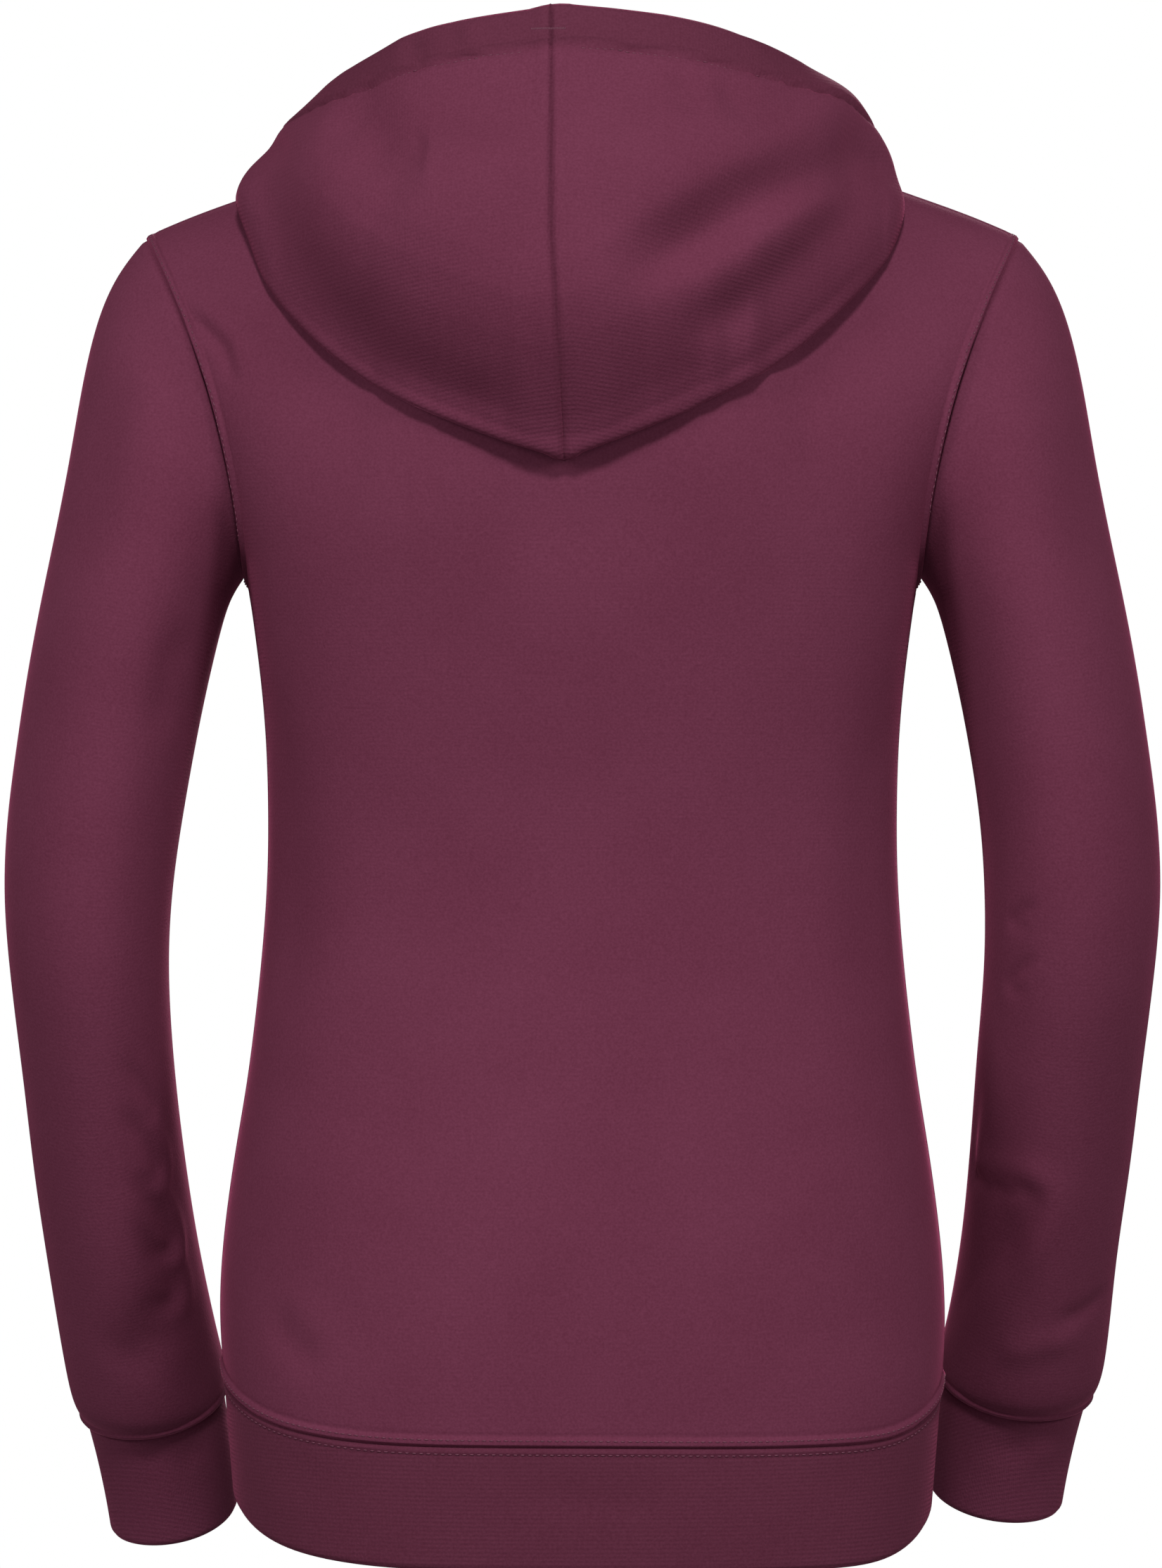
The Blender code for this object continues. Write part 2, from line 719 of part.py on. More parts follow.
def make_slider(matrix, material, parts, cutters):
    """Two plates joined by a post between the tapes, with two lugs and a pin for the pull."""
    half = SLIDER_LENGTH / 2
    tape_back = -BAND_WALL - TAPE_GAP - TAPE_WALL
    plate_top = PLATE_FRONT + PLATE_WALL
    back_plate = tape_back - SLIDER_GAP - PLATE_WALL
    slot_half = EYE_HALF_WIDTH + LUG_GAP
    lug_out = slot_half + LUG_WALL
    lug_top = HINGE_STAND + LUG_OVER_HINGE
    post = block(POST_HALF_WIDTH, back_plate + SUNK, PLATE_FRONT + SUNK, *POST_SPAN)
    back = block(SLIDER_HALF_WIDTH, back_plate, back_plate + PLATE_WALL, -half, half)
    lugs = block(lug_out, plate_top - SUNK, lug_top, -LUG_HALF_LENGTH, LUG_HALF_LENGTH)
    slot = block(slot_half, plate_top + SLOT_FLOOR, lug_top + 1, -half, half)
    pin = bar(BAR_RADIUS, lug_out - PIN_INSET, HINGE_STAND, 0)
    base = block(SLIDER_HALF_WIDTH, PLATE_FRONT, plate_top, -half, half)
    steps = [("UNION", post), ("UNION", back), ("UNION", lugs), ("DIFFERENCE", slot),
             ("UNION", pin)]
    slider = join_solids("zip_slider", base, steps, material, parts, cutters)
    place_all(slider, matrix)
    return slider


def make_pull(matrix, material, parts, cutters):
    """The pull tab, with its hinge axis through its own origin."""
    half_wall = PULL_WALL / 2
    low, high = PULL_WINDOW
    base = bar(EYE_RADIUS, EYE_HALF_WIDTH, 0, 0)
    neck = block(PULL_NECK_HALF_WIDTH, -half_wall, half_wall, PULL_SHOULDER - 1, -EYE_HOLE_RADIUS)
    tab = block(PULL_HALF_WIDTH, -half_wall, half_wall, -PULL_LENGTH, PULL_SHOULDER)
    hole = bar(EYE_HOLE_RADIUS, EYE_HALF_WIDTH + 1, 0, 0)
    window = block(PULL_HALF_WIDTH - PULL_FRAME, -PULL_WALL, PULL_WALL, low, high)
    steps = [("UNION", neck), ("UNION", tab), ("DIFFERENCE", hole), ("DIFFERENCE", window)]
    pull = join_solids("zip_pull", base, steps, material, parts, cutters)
    hinge = Matrix.Translation(Vector((0, HINGE_STAND, 0)) / 1000)
    place_all(pull, matrix @ hinge @ Matrix.Rotation(PULL_TILT, 4, "X"))
    return pull


def place_all(obj, matrix):
    """Puts a solid and the tools that shape it at one place."""
    obj.matrix_world = matrix
    for modifier in obj.modifiers:
        if modifier.type == "BOOLEAN":
            modifier.object.matrix_world = matrix


def make_zip(form, parts, cutters):
    cloth = new_material(TAPE_CLOTH)
    metal = new_material(NICKEL)
    line = front_line(form)
    line = trimmed(line, line[0][0].z + SEAM_GAP / 1000, line[-1][0].z - TAPE_TOP_INSET / 1000)
    tape_front = -BAND_WALL - TAPE_GAP
    tape_back = tape_front - TAPE_WALL
    left = strip(line, TAPE_INNER_X, TAPE_OUTER_X, tape_back, tape_front)
    right = strip(line, -TAPE_OUTER_X, -TAPE_INNER_X, tape_back, tape_front)
    new_object("zip_tape_left", left, cloth, parts)
    new_object("zip_tape_right", right, cloth, parts)
    chain_line = trimmed(line, line[0][0].z, SLIDER_Z / 1000)
    chain = strip(chain_line, -CHAIN_HALF_WIDTH, CHAIN_HALF_WIDTH, CHAIN_BACK, CHAIN_FRONT)
    new_object("zip_chain", chain, metal, parts)
    matrix = zip_frame(line)
    make_slider(matrix, metal, parts, cutters)
    make_pull(matrix, metal, parts, cutters)


def main():
    clear_scene()
    parts = new_collection("zip_hoodie")
    cutters = new_collection("zip_hoodie_cutters")
    fleece = new_material(FLEECE)
    form = build_form()
    for name in PIECES:
        new_object(name, cut_piece(form, name, cloth_wall(name)), fleece, parts)
    make_zip(form, parts, cutters)
    form.bm.free()


main()
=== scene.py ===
"""A zip-up hooded sweatshirt of burgundy fleece, closed and filled out as if worn, seen from
the back with its hood down.

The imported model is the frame. Each panel of cloth is a thin shell on the outer face of its
solid, with the folds, the rolled seams and the stitching of the real one, and the zip has its
own teeth, slider and pull. Tables and sizes are in millimetres and mm() turns them to metres.
"""

from math import atan, pi, radians

import bmesh
import bpy
import numpy as np
from mathutils import Matrix, Vector
from mathutils.bvhtree import BVHTree


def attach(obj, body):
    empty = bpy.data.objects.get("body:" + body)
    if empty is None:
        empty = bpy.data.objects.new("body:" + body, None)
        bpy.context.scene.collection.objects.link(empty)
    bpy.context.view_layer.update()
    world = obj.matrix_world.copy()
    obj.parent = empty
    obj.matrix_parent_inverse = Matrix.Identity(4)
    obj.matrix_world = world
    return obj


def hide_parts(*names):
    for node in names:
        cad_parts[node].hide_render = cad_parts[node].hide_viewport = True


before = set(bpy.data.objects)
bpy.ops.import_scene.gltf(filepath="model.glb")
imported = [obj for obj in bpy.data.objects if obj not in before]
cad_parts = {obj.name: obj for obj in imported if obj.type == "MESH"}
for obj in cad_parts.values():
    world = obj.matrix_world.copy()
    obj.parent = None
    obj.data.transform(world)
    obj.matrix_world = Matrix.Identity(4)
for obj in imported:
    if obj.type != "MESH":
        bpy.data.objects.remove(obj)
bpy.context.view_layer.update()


# ------------------------------------------------------------------ camera, light and floor
# The camera stands behind the garment, level with its middle, and looks straight at its back.
# The main lamp hangs high behind it, with a weak one low down, two beside it and one in front.

# Metres. The picture is a window on the plane through the garment's middle.
CAMERA_DISTANCE = 3.0
CAMERA_Z = -0.300
PICTURE_HEIGHT = 2229 * 0.00034
PICTURE_MIDDLE_X = 0.0007
PICTURE_MIDDLE_Z = -0.31433
FLOOR_Z = -1.45
FLOOR_HALF_WIDTH = 3.2
FLOOR_GLOW = 0.35
WORLD_STRENGTH = 0.115
LAMPS_AIM = (0, 0, -0.25)
LAMPS = (
    # name, place, width, watts
    ("key", (0.0, 4.2, 3.2), 0.9, 128),
    ("fill", (0.0, 2.9, -0.8), 1.2, 5),
    ("side_left", (2.3, 2.1, 0.75), 0.9, 23),
    ("side_right", (-2.3, 2.1, 0.75), 0.9, 23),
    ("front", (-0.35, -2.3, 0.8), 0.7, 24),
)


def linear(hex_colour):
    """An sRGB colour written as hex, as the linear one that shaders take."""
    values = [int(hex_colour[i:i + 2], 16) / 255 for i in (1, 3, 5)]
    return tuple(v / 12.92 if v <= 0.04045 else ((v + 0.055) / 1.055) ** 2.4
                 for v in values) + (1.0,)


def add(tree, kind, feeds=None, **settings):
    """Adds a node with its settings. feeds gives its inputs a value or another node's output."""
    node = tree.nodes.new(kind)
    for name, value in settings.items():
        setattr(node, name, value)
    for socket, source in (feeds or {}).items():
        if isinstance(source, bpy.types.NodeSocket):
            tree.links.new(source, node.inputs[socket])
        else:
            node.inputs[socket].default_value = source
    return node


def new_material(name, values):
    """A new material with values for its shader, given back with its node tree and shader."""
    material = bpy.data.materials.new(name)
    material.use_nodes = True
    shader = material.node_tree.nodes["Principled BSDF"]
    for socket, value in values.items():
        shader.inputs[socket].default_value = value
    return material, material.node_tree, shader


def to_mesh(bm, name):
    """The bmesh as a mesh with a name. The bmesh is used up."""
    mesh = bpy.data.meshes.new(name)
    bm.to_mesh(mesh)
    bm.free()
    return mesh


def new_object(name, mesh):
    obj = bpy.data.objects.new(name, mesh)
    bpy.context.scene.collection.objects.link(obj)
    return obj


def set_camera():
    camera = bpy.data.cameras.new("camera")
    camera.sensor_fit = "VERTICAL"
    camera.lens_unit = "FOV"
    camera.angle = 2 * atan(PICTURE_HEIGHT / 2 / CAMERA_DISTANCE)
    camera.shift_x = -PICTURE_MIDDLE_X / PICTURE_HEIGHT
    camera.shift_y = (PICTURE_MIDDLE_Z - CAMERA_Z) / PICTURE_HEIGHT
    obj = new_object("camera", camera)
    obj.location = (0, CAMERA_DISTANCE, CAMERA_Z)
    obj.rotation_euler = (pi / 2, 0, pi)
    bpy.context.scene.camera = obj


def set_lamps():
    for name, place, width, watts in LAMPS:
        lamp = bpy.data.lights.new(name, "AREA")
        lamp.shape = "DISK"
        lamp.size = width
        lamp.energy = watts
        obj = new_object(name, lamp)
        obj.location = place
        obj.visible_camera = False
        aim = Vector(LAMPS_AIM) - Vector(place)
        obj.rotation_euler = aim.to_track_quat("-Z", "Y").to_euler()


def set_world():
    """Weak, even studio light from all round. What shows behind the garment is paper white."""
    world = bpy.data.worlds.new("studio")
    world.use_nodes = True
    tree = world.node_tree
    tree.nodes.clear()
    path = add(tree, "ShaderNodeLightPath")
    soft = add(tree, "ShaderNodeBackground", {"Color": linear("#F4F2F0"),
                                                "Strength": WORLD_STRENGTH})
    paper = add(tree, "ShaderNodeBackground", {"Color": (1, 1, 1, 1), "Strength": 1.0})
    mix = add(tree, "ShaderNodeMixShader",
              {0: path.outputs["Is Camera Ray"], 1: soft.outputs[0], 2: paper.outputs[0]})
    add(tree, "ShaderNodeOutputWorld", {"Surface": mix.outputs[0]})
    bpy.context.scene.world = world
    bpy.context.scene.view_settings.view_transform = "Standard"


def set_floor():
    bm = bmesh.new()
    bmesh.ops.create_grid(bm, size=FLOOR_HALF_WIDTH, matrix=Matrix.Translation((0, 0, FLOOR_Z)))
    mesh = to_mesh(bm, "floor")
    mesh.materials.append(new_material("white_paper", {
        "Base Color": linear("#F7F6F5"), "Roughness": 0.9, "Specular IOR Level": 0.2,
        "Emission Color": linear("#FFFFFF"), "Emission Strength": FLOOR_GLOW})[0])
    floor = new_object("floor", mesh)
    floor.visible_diffuse = False   # so that it throws no light up on the garment


set_camera()
set_lamps()
set_world()
set_floor()


# ------------------------------------------------------------------ fleece
# Cotton fleece: a smooth knit face in burgundy, brushed soft on the inside, and dyed in the
# piece, so its colour is even but for the yarn's small differences and a painted shade on the
# hood's hem and the waistband. The knit's rows run across each panel, and every panel carries
# its own "grain": how far across and along, in metres.

FACE_DARK = "#6C3047"
FACE_LIGHT = "#7C3D56"
# Painted shade: the face colour is darkened by this on the hood's hem and the waistband, which are
# doubled.
PAINTED_SHADE_TINT = (0.78, 0.78, 0.76, 1)   # what the colour is multiplied by in doubled cloth
NAP_DARK = "#6E3B52"
NAP_LIGHT = "#7D4860"
THREAD_DARK = "#5C2A3F"
THREAD_LIGHT = "#8A4A62"
COURSE = 2.0   # mm. The real rows are 1.0 mm apart, drawn coarser so that they show
WALE = 1.6     # mm. The real columns are 0.8 mm apart, also drawn coarser
WALE_SHARE = 0.3       # of the rows' height that the columns have
FIBRE_HEIGHT = 0.16    # mm
NAP_HEIGHT = 1.2       # mm
YARN_SCALE = 900       # the yarn changes about every 1.1 mm
CLOUD_SCALE = 14       # and the dye about every 70 mm
YARN_SHARE = 0.65      # of the changes in colour
NAP_SCALE = 420        # tufts of about 2.4 mm, drawn coarser than they are
TWIST_SCALE = 2200     # the thread's twist, about every 0.45 mm
MM_HIGH = 0.001        # metres. Bump heights are given in millimetres


def grain_waves(tree, pitch_along, pitch_across):
    """Rows and columns of knit, as two waves along the panel's own grain."""
    grain = add(tree, "ShaderNodeAttribute", attribute_name="grain")
    split = add(tree, "ShaderNodeSeparateXYZ", {0: grain.outputs["Vector"]})
    waves = []
    for socket, pitch in (("Y", pitch_along), ("X", pitch_across)):
        turns = add(tree, "ShaderNodeMath", {0: split.outputs[socket], 1: 2 * pi / pitch * 1000},
                    operation="MULTIPLY")
        wave = add(tree, "ShaderNodeMath", {0: turns.outputs[0]}, operation="SINE")
        waves.append(wave.outputs[0])
    return waves


def fleece(name, course_height):
    """Knit fleece face, with rows that stand out by a height in millimetres. Where its points are
    marked for it, its colour is darkened: painted shade on the doubled hem and band."""
    material, tree, shader = new_material(name, {
        "Roughness": 0.9, "Specular IOR Level": 0.12, "Sheen Weight": 0.75,
        "Sheen Roughness": 0.3, "Sheen Tint": linear("#A84A6C")})
    place = add(tree, "ShaderNodeTexCoord").outputs["Object"]
    yarn = add(tree, "ShaderNodeTexNoise", {"Vector": place, "Scale": YARN_SCALE, "Detail": 2})
    cloud = add(tree, "ShaderNodeTexNoise", {"Vector": place, "Scale": CLOUD_SCALE, "Detail": 3})
    rows, columns = grain_waves(tree, COURSE, WALE)
    mixed = add(tree, "ShaderNodeMath", {0: yarn.outputs["Fac"], 1: YARN_SHARE},
                operation="MULTIPLY")
    tone = add(tree, "ShaderNodeMath", {0: cloud.outputs["Fac"], 1: 1 - YARN_SHARE,
                                        2: mixed.outputs[0]}, operation="MULTIPLY_ADD")
    ramp = add(tree, "ShaderNodeValToRGB", {"Fac": tone.outputs[0]})
    ramp.color_ramp.elements[0].position = 0.3
    ramp.color_ramp.elements[0].color = linear(FACE_DARK)
    ramp.color_ramp.elements[1].position = 0.7
    ramp.color_ramp.elements[1].color = linear(FACE_LIGHT)
    painted_shade = add(tree, "ShaderNodeAttribute", attribute_name="painted_shade")
    shade = add(tree, "ShaderNodeMixRGB", {0: painted_shade.outputs["Fac"], 1: ramp.outputs["Color"],
                                           2: PAINTED_SHADE_TINT}, blend_type="MULTIPLY")
    tree.links.new(shade.outputs["Color"], shader.inputs["Base Color"])
    uneven = add(tree, "ShaderNodeMath", {0: cloud.outputs["Fac"], 1: course_height},
                 operation="MULTIPLY")
    raised = add(tree, "ShaderNodeMath", {0: rows, 1: uneven.outputs[0]}, operation="MULTIPLY")
    ribbed = add(tree, "ShaderNodeMath", {0: columns, 1: course_height * WALE_SHARE,
                                          2: raised.outputs[0]}, operation="MULTIPLY_ADD")
    fibres = add(tree, "ShaderNodeMath", {0: yarn.outputs["Fac"], 1: FIBRE_HEIGHT,
                                          2: ribbed.outputs[0]}, operation="MULTIPLY_ADD")
    bump = add(tree, "ShaderNodeBump", {"Height": fibres.outputs[0], "Distance": MM_HIGH,
                                        "Strength": 1.0})
    tree.links.new(bump.outputs["Normal"], shader.inputs["Normal"])
    return material


def brushed_back():
    """The inside of the fleece: brushed to a soft nap, a little paler than the face."""
    material, tree, shader = new_material("fleece_brushed_back", {
        "Roughness": 1.0, "Specular IOR Level": 0.1, "Sheen Weight": 0.25,
        "Sheen Roughness": 0.6, "Sheen Tint": linear("#8C5068")})
    place = add(tree, "ShaderNodeTexCoord").outputs["Object"]
    nap = add(tree, "ShaderNodeTexNoise", {"Vector": place, "Scale": NAP_SCALE, "Detail": 4,
                                           "Roughness": 0.7})
    ramp = add(tree, "ShaderNodeValToRGB", {"Fac": nap.outputs["Fac"]})
    ramp.color_ramp.elements[0].position = 0.3
    ramp.color_ramp.elements[0].color = linear(NAP_DARK)
    ramp.color_ramp.elements[1].position = 0.75
    ramp.color_ramp.elements[1].color = linear(NAP_LIGHT)
    tree.links.new(ramp.outputs["Color"], shader.inputs["Base Color"])
    bump = add(tree, "ShaderNodeBump", {"Height": nap.outputs["Fac"],
                                        "Distance": NAP_HEIGHT * MM_HIGH})
    tree.links.new(bump.outputs["Normal"], shader.inputs["Normal"])
    return material


def sewing_thread():
    """Spun polyester thread, dyed to match, with a slight gloss that lifts it off the cloth."""
    material, tree, shader = new_material("sewing_thread", {"Roughness": 0.55})
    place = add(tree, "ShaderNodeTexCoord").outputs["Object"]
    twist = add(tree, "ShaderNodeTexNoise", {"Vector": place, "Scale": TWIST_SCALE, "Detail": 1})
    ramp = add(tree, "ShaderNodeValToRGB", {"Fac": twist.outputs["Fac"]})
    ramp.color_ramp.elements[0].color = linear(THREAD_DARK)
    ramp.color_ramp.elements[1].color = linear(THREAD_LIGHT)
    tree.links.new(ramp.outputs["Color"], shader.inputs["Base Color"])
    return material


FLEECE_FACE = fleece("fleece_knit_face", 0.02)
FLEECE_RIDGED = fleece("fleece_knit_face_ridged", 0.065)   # hood, cuffs and waistband
FLEECE_BACK = brushed_back()
THREAD = sewing_thread()


# ------------------------------------------------------------------ back
# The back is one panel of fleece from the neck to the waistband. It is overlocked to the
# fronts, sleeves and hood, and the seam allowances are topstitched down, which raises a band.

CLOTH_WALL = 1.9
DOUBLED_WALL = 2.4
WELD = 0.02       # points of the solid this close are one
PANEL_OUT = {"back": (0, 1, 0), "front": (0, -1, 0), "hood": (0, 1, 0), "waistband": (0, 1, 0),
             "sleeve_left": (1, 0, 0), "sleeve_right": (-1, 0, 0), "cuff_left": (1, 0, 0),
             "cuff_right": (-1, 0, 0), "zip": (0, -1, 0)}
JOIN_ANGLE = radians(60)      # triangles that meet flatter than this are joined
MOSTLY_OUT = 0.5              # the least cosine between a face's direction and its panel's
RIM_ANGLE = radians(50)       # the outer face ends at edges sharper than this
CORNER_ANGLE = radians(135)   # corners of the border sharper than this stay sharp
SEAM_STRIPS = (2.2, 4.3)      # widths of the finer strips of mesh along the border
SEAM_CLOSING = 0.6            # of the gap between two panels, so that they meet in the seam
TOUCHING = 2.5                # panels this close are sewn together
SHORTEST_RUN = 4              # points. A shorter run of the border is a corner


def looking(name):
    """The direction that a panel's outer face mostly looks in."""
    for key, direction in PANEL_OUT.items():
        if name.startswith(key):
            return Vector(direction)


def outer_face(name):
    """The outer face of a panel, in four-sided faces, without its rim and its inner face."""
    bm = bmesh.new()
    bm.from_mesh(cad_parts[name].data)
    bmesh.ops.remove_doubles(bm, verts=bm.verts, dist=WELD / 1000)
    bmesh.ops.join_triangles(bm, faces=bm.faces, angle_face_threshold=JOIN_ANGLE,
                             angle_shape_threshold=pi)
    bm.normal_update()
    out = looking(name)
    ahead = [face for face in bm.faces if face.normal.dot(out) > MOSTLY_OUT]
    found = {max(ahead, key=lambda face: face.calc_center_median().dot(out))}
    edge_of_search = list(found)
    while edge_of_search:
        for edge in edge_of_search.pop().edges:
            if edge.calc_face_angle(pi) < RIM_ANGLE:
                fresh = [face for face in edge.link_faces if face not in found]
                found.update(fresh)
                edge_of_search += fresh
    bmesh.ops.delete(bm, geom=[face for face in bm.faces if face not in found], context="FACES")
    return bm


def keep_corners(bm):
    """Creases the corners of the border, so that subdivision leaves them sharp."""
    crease = bm.verts.layers.float.new("crease_vert")
    for vert in bm.verts:
        ends = [edge.other_vert(vert).co - vert.co for edge in vert.link_edges if edge.is_boundary]
        if len(ends) == 2 and ends[0].angle(ends[1]) < CORNER_ANGLE:
            vert[crease] = 1.0


def refined(name, bm, strips, level):
    """The face's mesh with narrow strips along its border, smoothed by levels of subdivision."""
    inside = bm.faces[:]
    for width in strips:
        strip = bmesh.ops.inset_region(bm, faces=inside, thickness=width / 1000,
                                       use_boundary=True, use_even_offset=True)
        strip = set(strip["faces"])
        inside = [face for face in inside if face not in strip]
    keep_corners(bm)
    rough = to_mesh(bm, name + "_rough")
    obj = new_object(name + "_rough", rough)
    smoother = obj.modifiers.new("smoother", "SUBSURF")
    smoother.levels = level
    smoother.render_levels = level
    smoother.boundary_smooth = "PRESERVE_CORNERS"
    depsgraph = bpy.context.evaluated_depsgraph_get()
    mesh = bpy.data.meshes.new_from_object(obj.evaluated_get(depsgraph))
    mesh.name = name
    bpy.data.objects.remove(obj)
    bpy.data.meshes.remove(rough)
    return mesh


def read(mesh, what):
    """The mesh's points ("co") or their directions ("normal"), as rows of x, y and z."""
    values = np.empty(len(mesh.vertices) * 3)
    mesh.vertices.foreach_get(what, values)
    return values.reshape(-1, 3)


CLOTH_NODES = ("back", "front_left", "front_right", "sleeve_left", "sleeve_right", "cuff_left",
               "cuff_right", "waistband", "hood_left", "hood_right")


def solid_tree(*names):
    """The faces of the solids named, to find places on."""
    bm = bmesh.new()
    for name in names:
        bm.from_mesh(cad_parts[name].data)
    tree = BVHTree.FromBMesh(bm)
    bm.free()
    return tree


def cloth_tree(mesh):
    """The faces of a piece of cloth, to find places on."""
    return BVHTree.FromPolygons([vert.co for vert in mesh.vertices],
                                [tuple(face.vertices) for face in mesh.polygons])


SOLID_TREES = {name: solid_tree(name) for name in CLOTH_NODES}


def border_runs(mesh, name):
    """The face's border as runs of vertices, each with the name of the panel that it meets."""
    count = {}
    for face in mesh.polygons:
        for key in face.edge_keys:
            count[key] = count.get(key, 0) + 1
    beside = {}
    for a, b in (key for key, uses in count.items() if uses == 1):
        beside.setdefault(a, []).append(b)
        beside.setdefault(b, []).append(a)
    meets = {}
    for vert in beside:
        place = mesh.vertices[vert].co
        near = [(tree.find_nearest(place)[3], other) for other, tree in SOLID_TREES.items()
                if other != name]
        gap, other = min(near)
        meets[vert] = other if gap < TOUCHING / 1000 else "open"
    runs = []
    left = set(beside)
    while left:
        start = min(left)
        loop = [start]
        left.discard(start)
        while True:
            onward = [v for v in beside[loop[-1]] if v in left]
            if not onward:
                break
            loop.append(onward[0])
            left.discard(onward[0])
        turn = next((i for i in range(len(loop)) if meets[loop[i]] != meets[loop[i - 1]]), 0)
        loop = loop[turn:] + loop[:turn]
        if turn == 0 and meets[loop[0]] == meets[loop[-1]]:
            loop.append(loop[0])
        run = [loop[0]]
        for vert in loop[1:]:
            if meets[vert] != meets[run[-1]]:
                runs.append((meets[run[-1]], run))
                run = []
            run.append(vert)
        runs.append((meets[run[-1]], run))
    return [(other, run) for other, run in runs if len(run) >= SHORTEST_RUN]


def measured(points, line):
    """Each point's distance to a line in millimetres, how far along it, 0 to 1, its foot on the
    line and the line's direction there."""
    lengths = np.cumsum([0] + [np.linalg.norm(b - a) for a, b in zip(line, line[1:])])
    best = np.full(len(points), np.inf)
    along = np.zeros(len(points))
    foot = np.zeros((len(points), 3))
    ways = np.zeros((len(points), 3))
    for i, (here, after) in enumerate(zip(line[:-1], line[1:])):
        way = after - here
        length = max(float(way @ way), 1e-12)
        t = np.clip((points - here) @ way / length, 0, 1)
        nearest = here + t[:, None] * way
        square = np.sum((points - nearest) ** 2, axis=1)
        closer = square < best
        best[closer] = square[closer]
        along[closer] = (lengths[i] + t[closer] * (lengths[i + 1] - lengths[i])) / lengths[-1]
        foot[closer] = nearest[closer]
        ways[closer] = way
    return np.sqrt(best) * 1000, along, foot, ways


def step(values, low, high):
    """0 below the low value, 1 above the high one and smooth between."""
    t = np.clip((values - low) / (high - low), 0, 1)
    return t * t * (3 - 2 * t)


TURNED = (-0.25, 0.1)   # cosines to the view at which cloth starts to count, and fully counts


def facing(normals, side):
    """1 on the layers that face the back (side 1) or the front (side -1), and 0 on the others."""
    return step(normals[:, 1] * side, *TURNED)


# How the cloth stands near each kind of seam: how far it rolls in at the seam and over what
# width, how high the allowance lifts it and how wide that band is, how far in its stitches are
# and how deep they pull. The band flattens over the length of fade at its ends. The hood's hem
# pulls deeper at its ends, gathers the mesh to its stitches and is doubled up to them, and its
# colour there is darkened as painted shade. A row of stitches with no dimple of its own pulls in
# by DIMPLE.
SEAMS = {
    "plain": {"roll": 1.3, "roll_width": 1.8, "lift": 0.25, "band": 6.0},
    "armhole": {"roll": 0.9, "roll_width": 0.9, "lift": 1.5, "band": 4.2, "stitch": 4.6,
                "fade": 12},
    "sleeve_head": {"roll": 1.0, "roll_width": 1.6, "lift": 0.0, "band": 5.0},
    "above_band": {"roll": 0.6, "roll_width": 0.7, "lift": 1.5, "band": 4.4, "stitch": 5.4,
                   "fade": 3},
    "band_top": {"roll": 0.2, "roll_width": 0.7, "lift": 0.6, "band": 2.6, "stitch": 3.6,
                 "dimple": 0.1},
    "above_cuff": {"roll": 1.1, "roll_width": 0.8, "lift": 1.5, "band": 4.4},
    "cuff_top": {"roll": 1.6, "roll_width": 1.6, "lift": 0.2, "band": 3.0},
    "folded_edge": {"roll": 1.2, "roll_width": 1.4, "lift": 0.0, "band": 3.0},
    "front_edge": {"roll": 1.2, "roll_width": 1.2, "lift": 0.5, "band": 5.2, "stitch": 5.8},
    "hood_centre": {"roll": 1.0, "roll_width": 1.1, "lift": 0.5, "band": 7.0},
    "hood_hem": {"roll": 0.8, "roll_width": 1.4, "lift": 0.5, "band": 21.0, "stitch": 21.8,
                 "dimple": 2.9, "deeper_ends": 1.0, "gathers": 2.6, "painted_shade": True},
}
BAND_START = (0.3, 1.6)    # where the band starts to rise, and is full
BAND_END = (-0.6, 0.7)     # the same at its far edge, from the band's width
DIMPLE = 0.35
DIMPLE_WIDTH = 0.95
HEM_ENDS = (0.07, 0.12)    # metres to each side, where a hem's ends begin and are full
GATHERING = 1.6            # over 0 draws the mesh towards a row of stitches


def seam_height(seam, distance, to_end, points):
    """How far the cloth stands out or in at a distance from a seam and from the seam's end, all
    in millimetres."""
    height = -seam["roll"] * np.exp(-(distance / seam["roll_width"]) ** 2)
    rise = step(distance, *BAND_START)
    rise *= 1 - step(distance - seam["band"], *BAND_END)
    if "fade" in seam:
        rise *= step(to_end, 0, seam["fade"])
    height += seam["lift"] * rise
    if "stitch" in seam:
        dimple = seam.get("dimple", DIMPLE)
        dimple += seam.get("deeper_ends", 0) * step(np.abs(points[:, 0]), *HEM_ENDS)
        height -= dimple * np.exp(-((distance - seam["stitch"]) / DIMPLE_WIDTH) ** 2)
    return height


def gather_points(points, distance, foot, inset, reach):
    """Draws the points on both sides of a row of stitches closer to it, so that it shows."""
    off = distance - inset
    near = np.abs(off) < reach
    wanted = inset + off * np.abs(off / reach) ** GATHERING
    scale = (wanted / np.maximum(distance, 0.01))[near]
    points[near] = foot[near] + (points[near] - foot[near]) * scale[:, None]
    distance[near] = wanted[near]


def through(points, steps=8):
    """A smooth line through the points given."""
    line = []
    for i in range(len(points) - 1):
        here, after = points[i], points[i + 1]
        before = points[max(i - 1, 0)]
        beyond = points[min(i + 2, len(points) - 1)]
        for k in range(steps):
            t = k / steps
            line.append(0.5 * (2 * here + (after - before) * t
                               + (2 * before - 5 * here + 4 * after - beyond) * t * t
                               + (3 * here - before - 3 * after + beyond) * t ** 3))
    line.append(points[-1])
    return line


def fold(width, height, *line, lip=0, ends=0.35, seen="back"):
    """A row of a table of folds. Its line is given as seen from the back or the front, (x, z) in
    millimetres. A trough has a negative height, lip lifts the cloth beside it on its left, going
    along it, and it fades over a share of its length at both ends."""
    return {"width": width, "height": height, "line": line, "lip": lip, "ends": ends,
            "seen": seen}


def mm(x, y, z):
    """A point given in millimetres, as a vector in metres."""
    return Vector((x, y, z)) / 1000


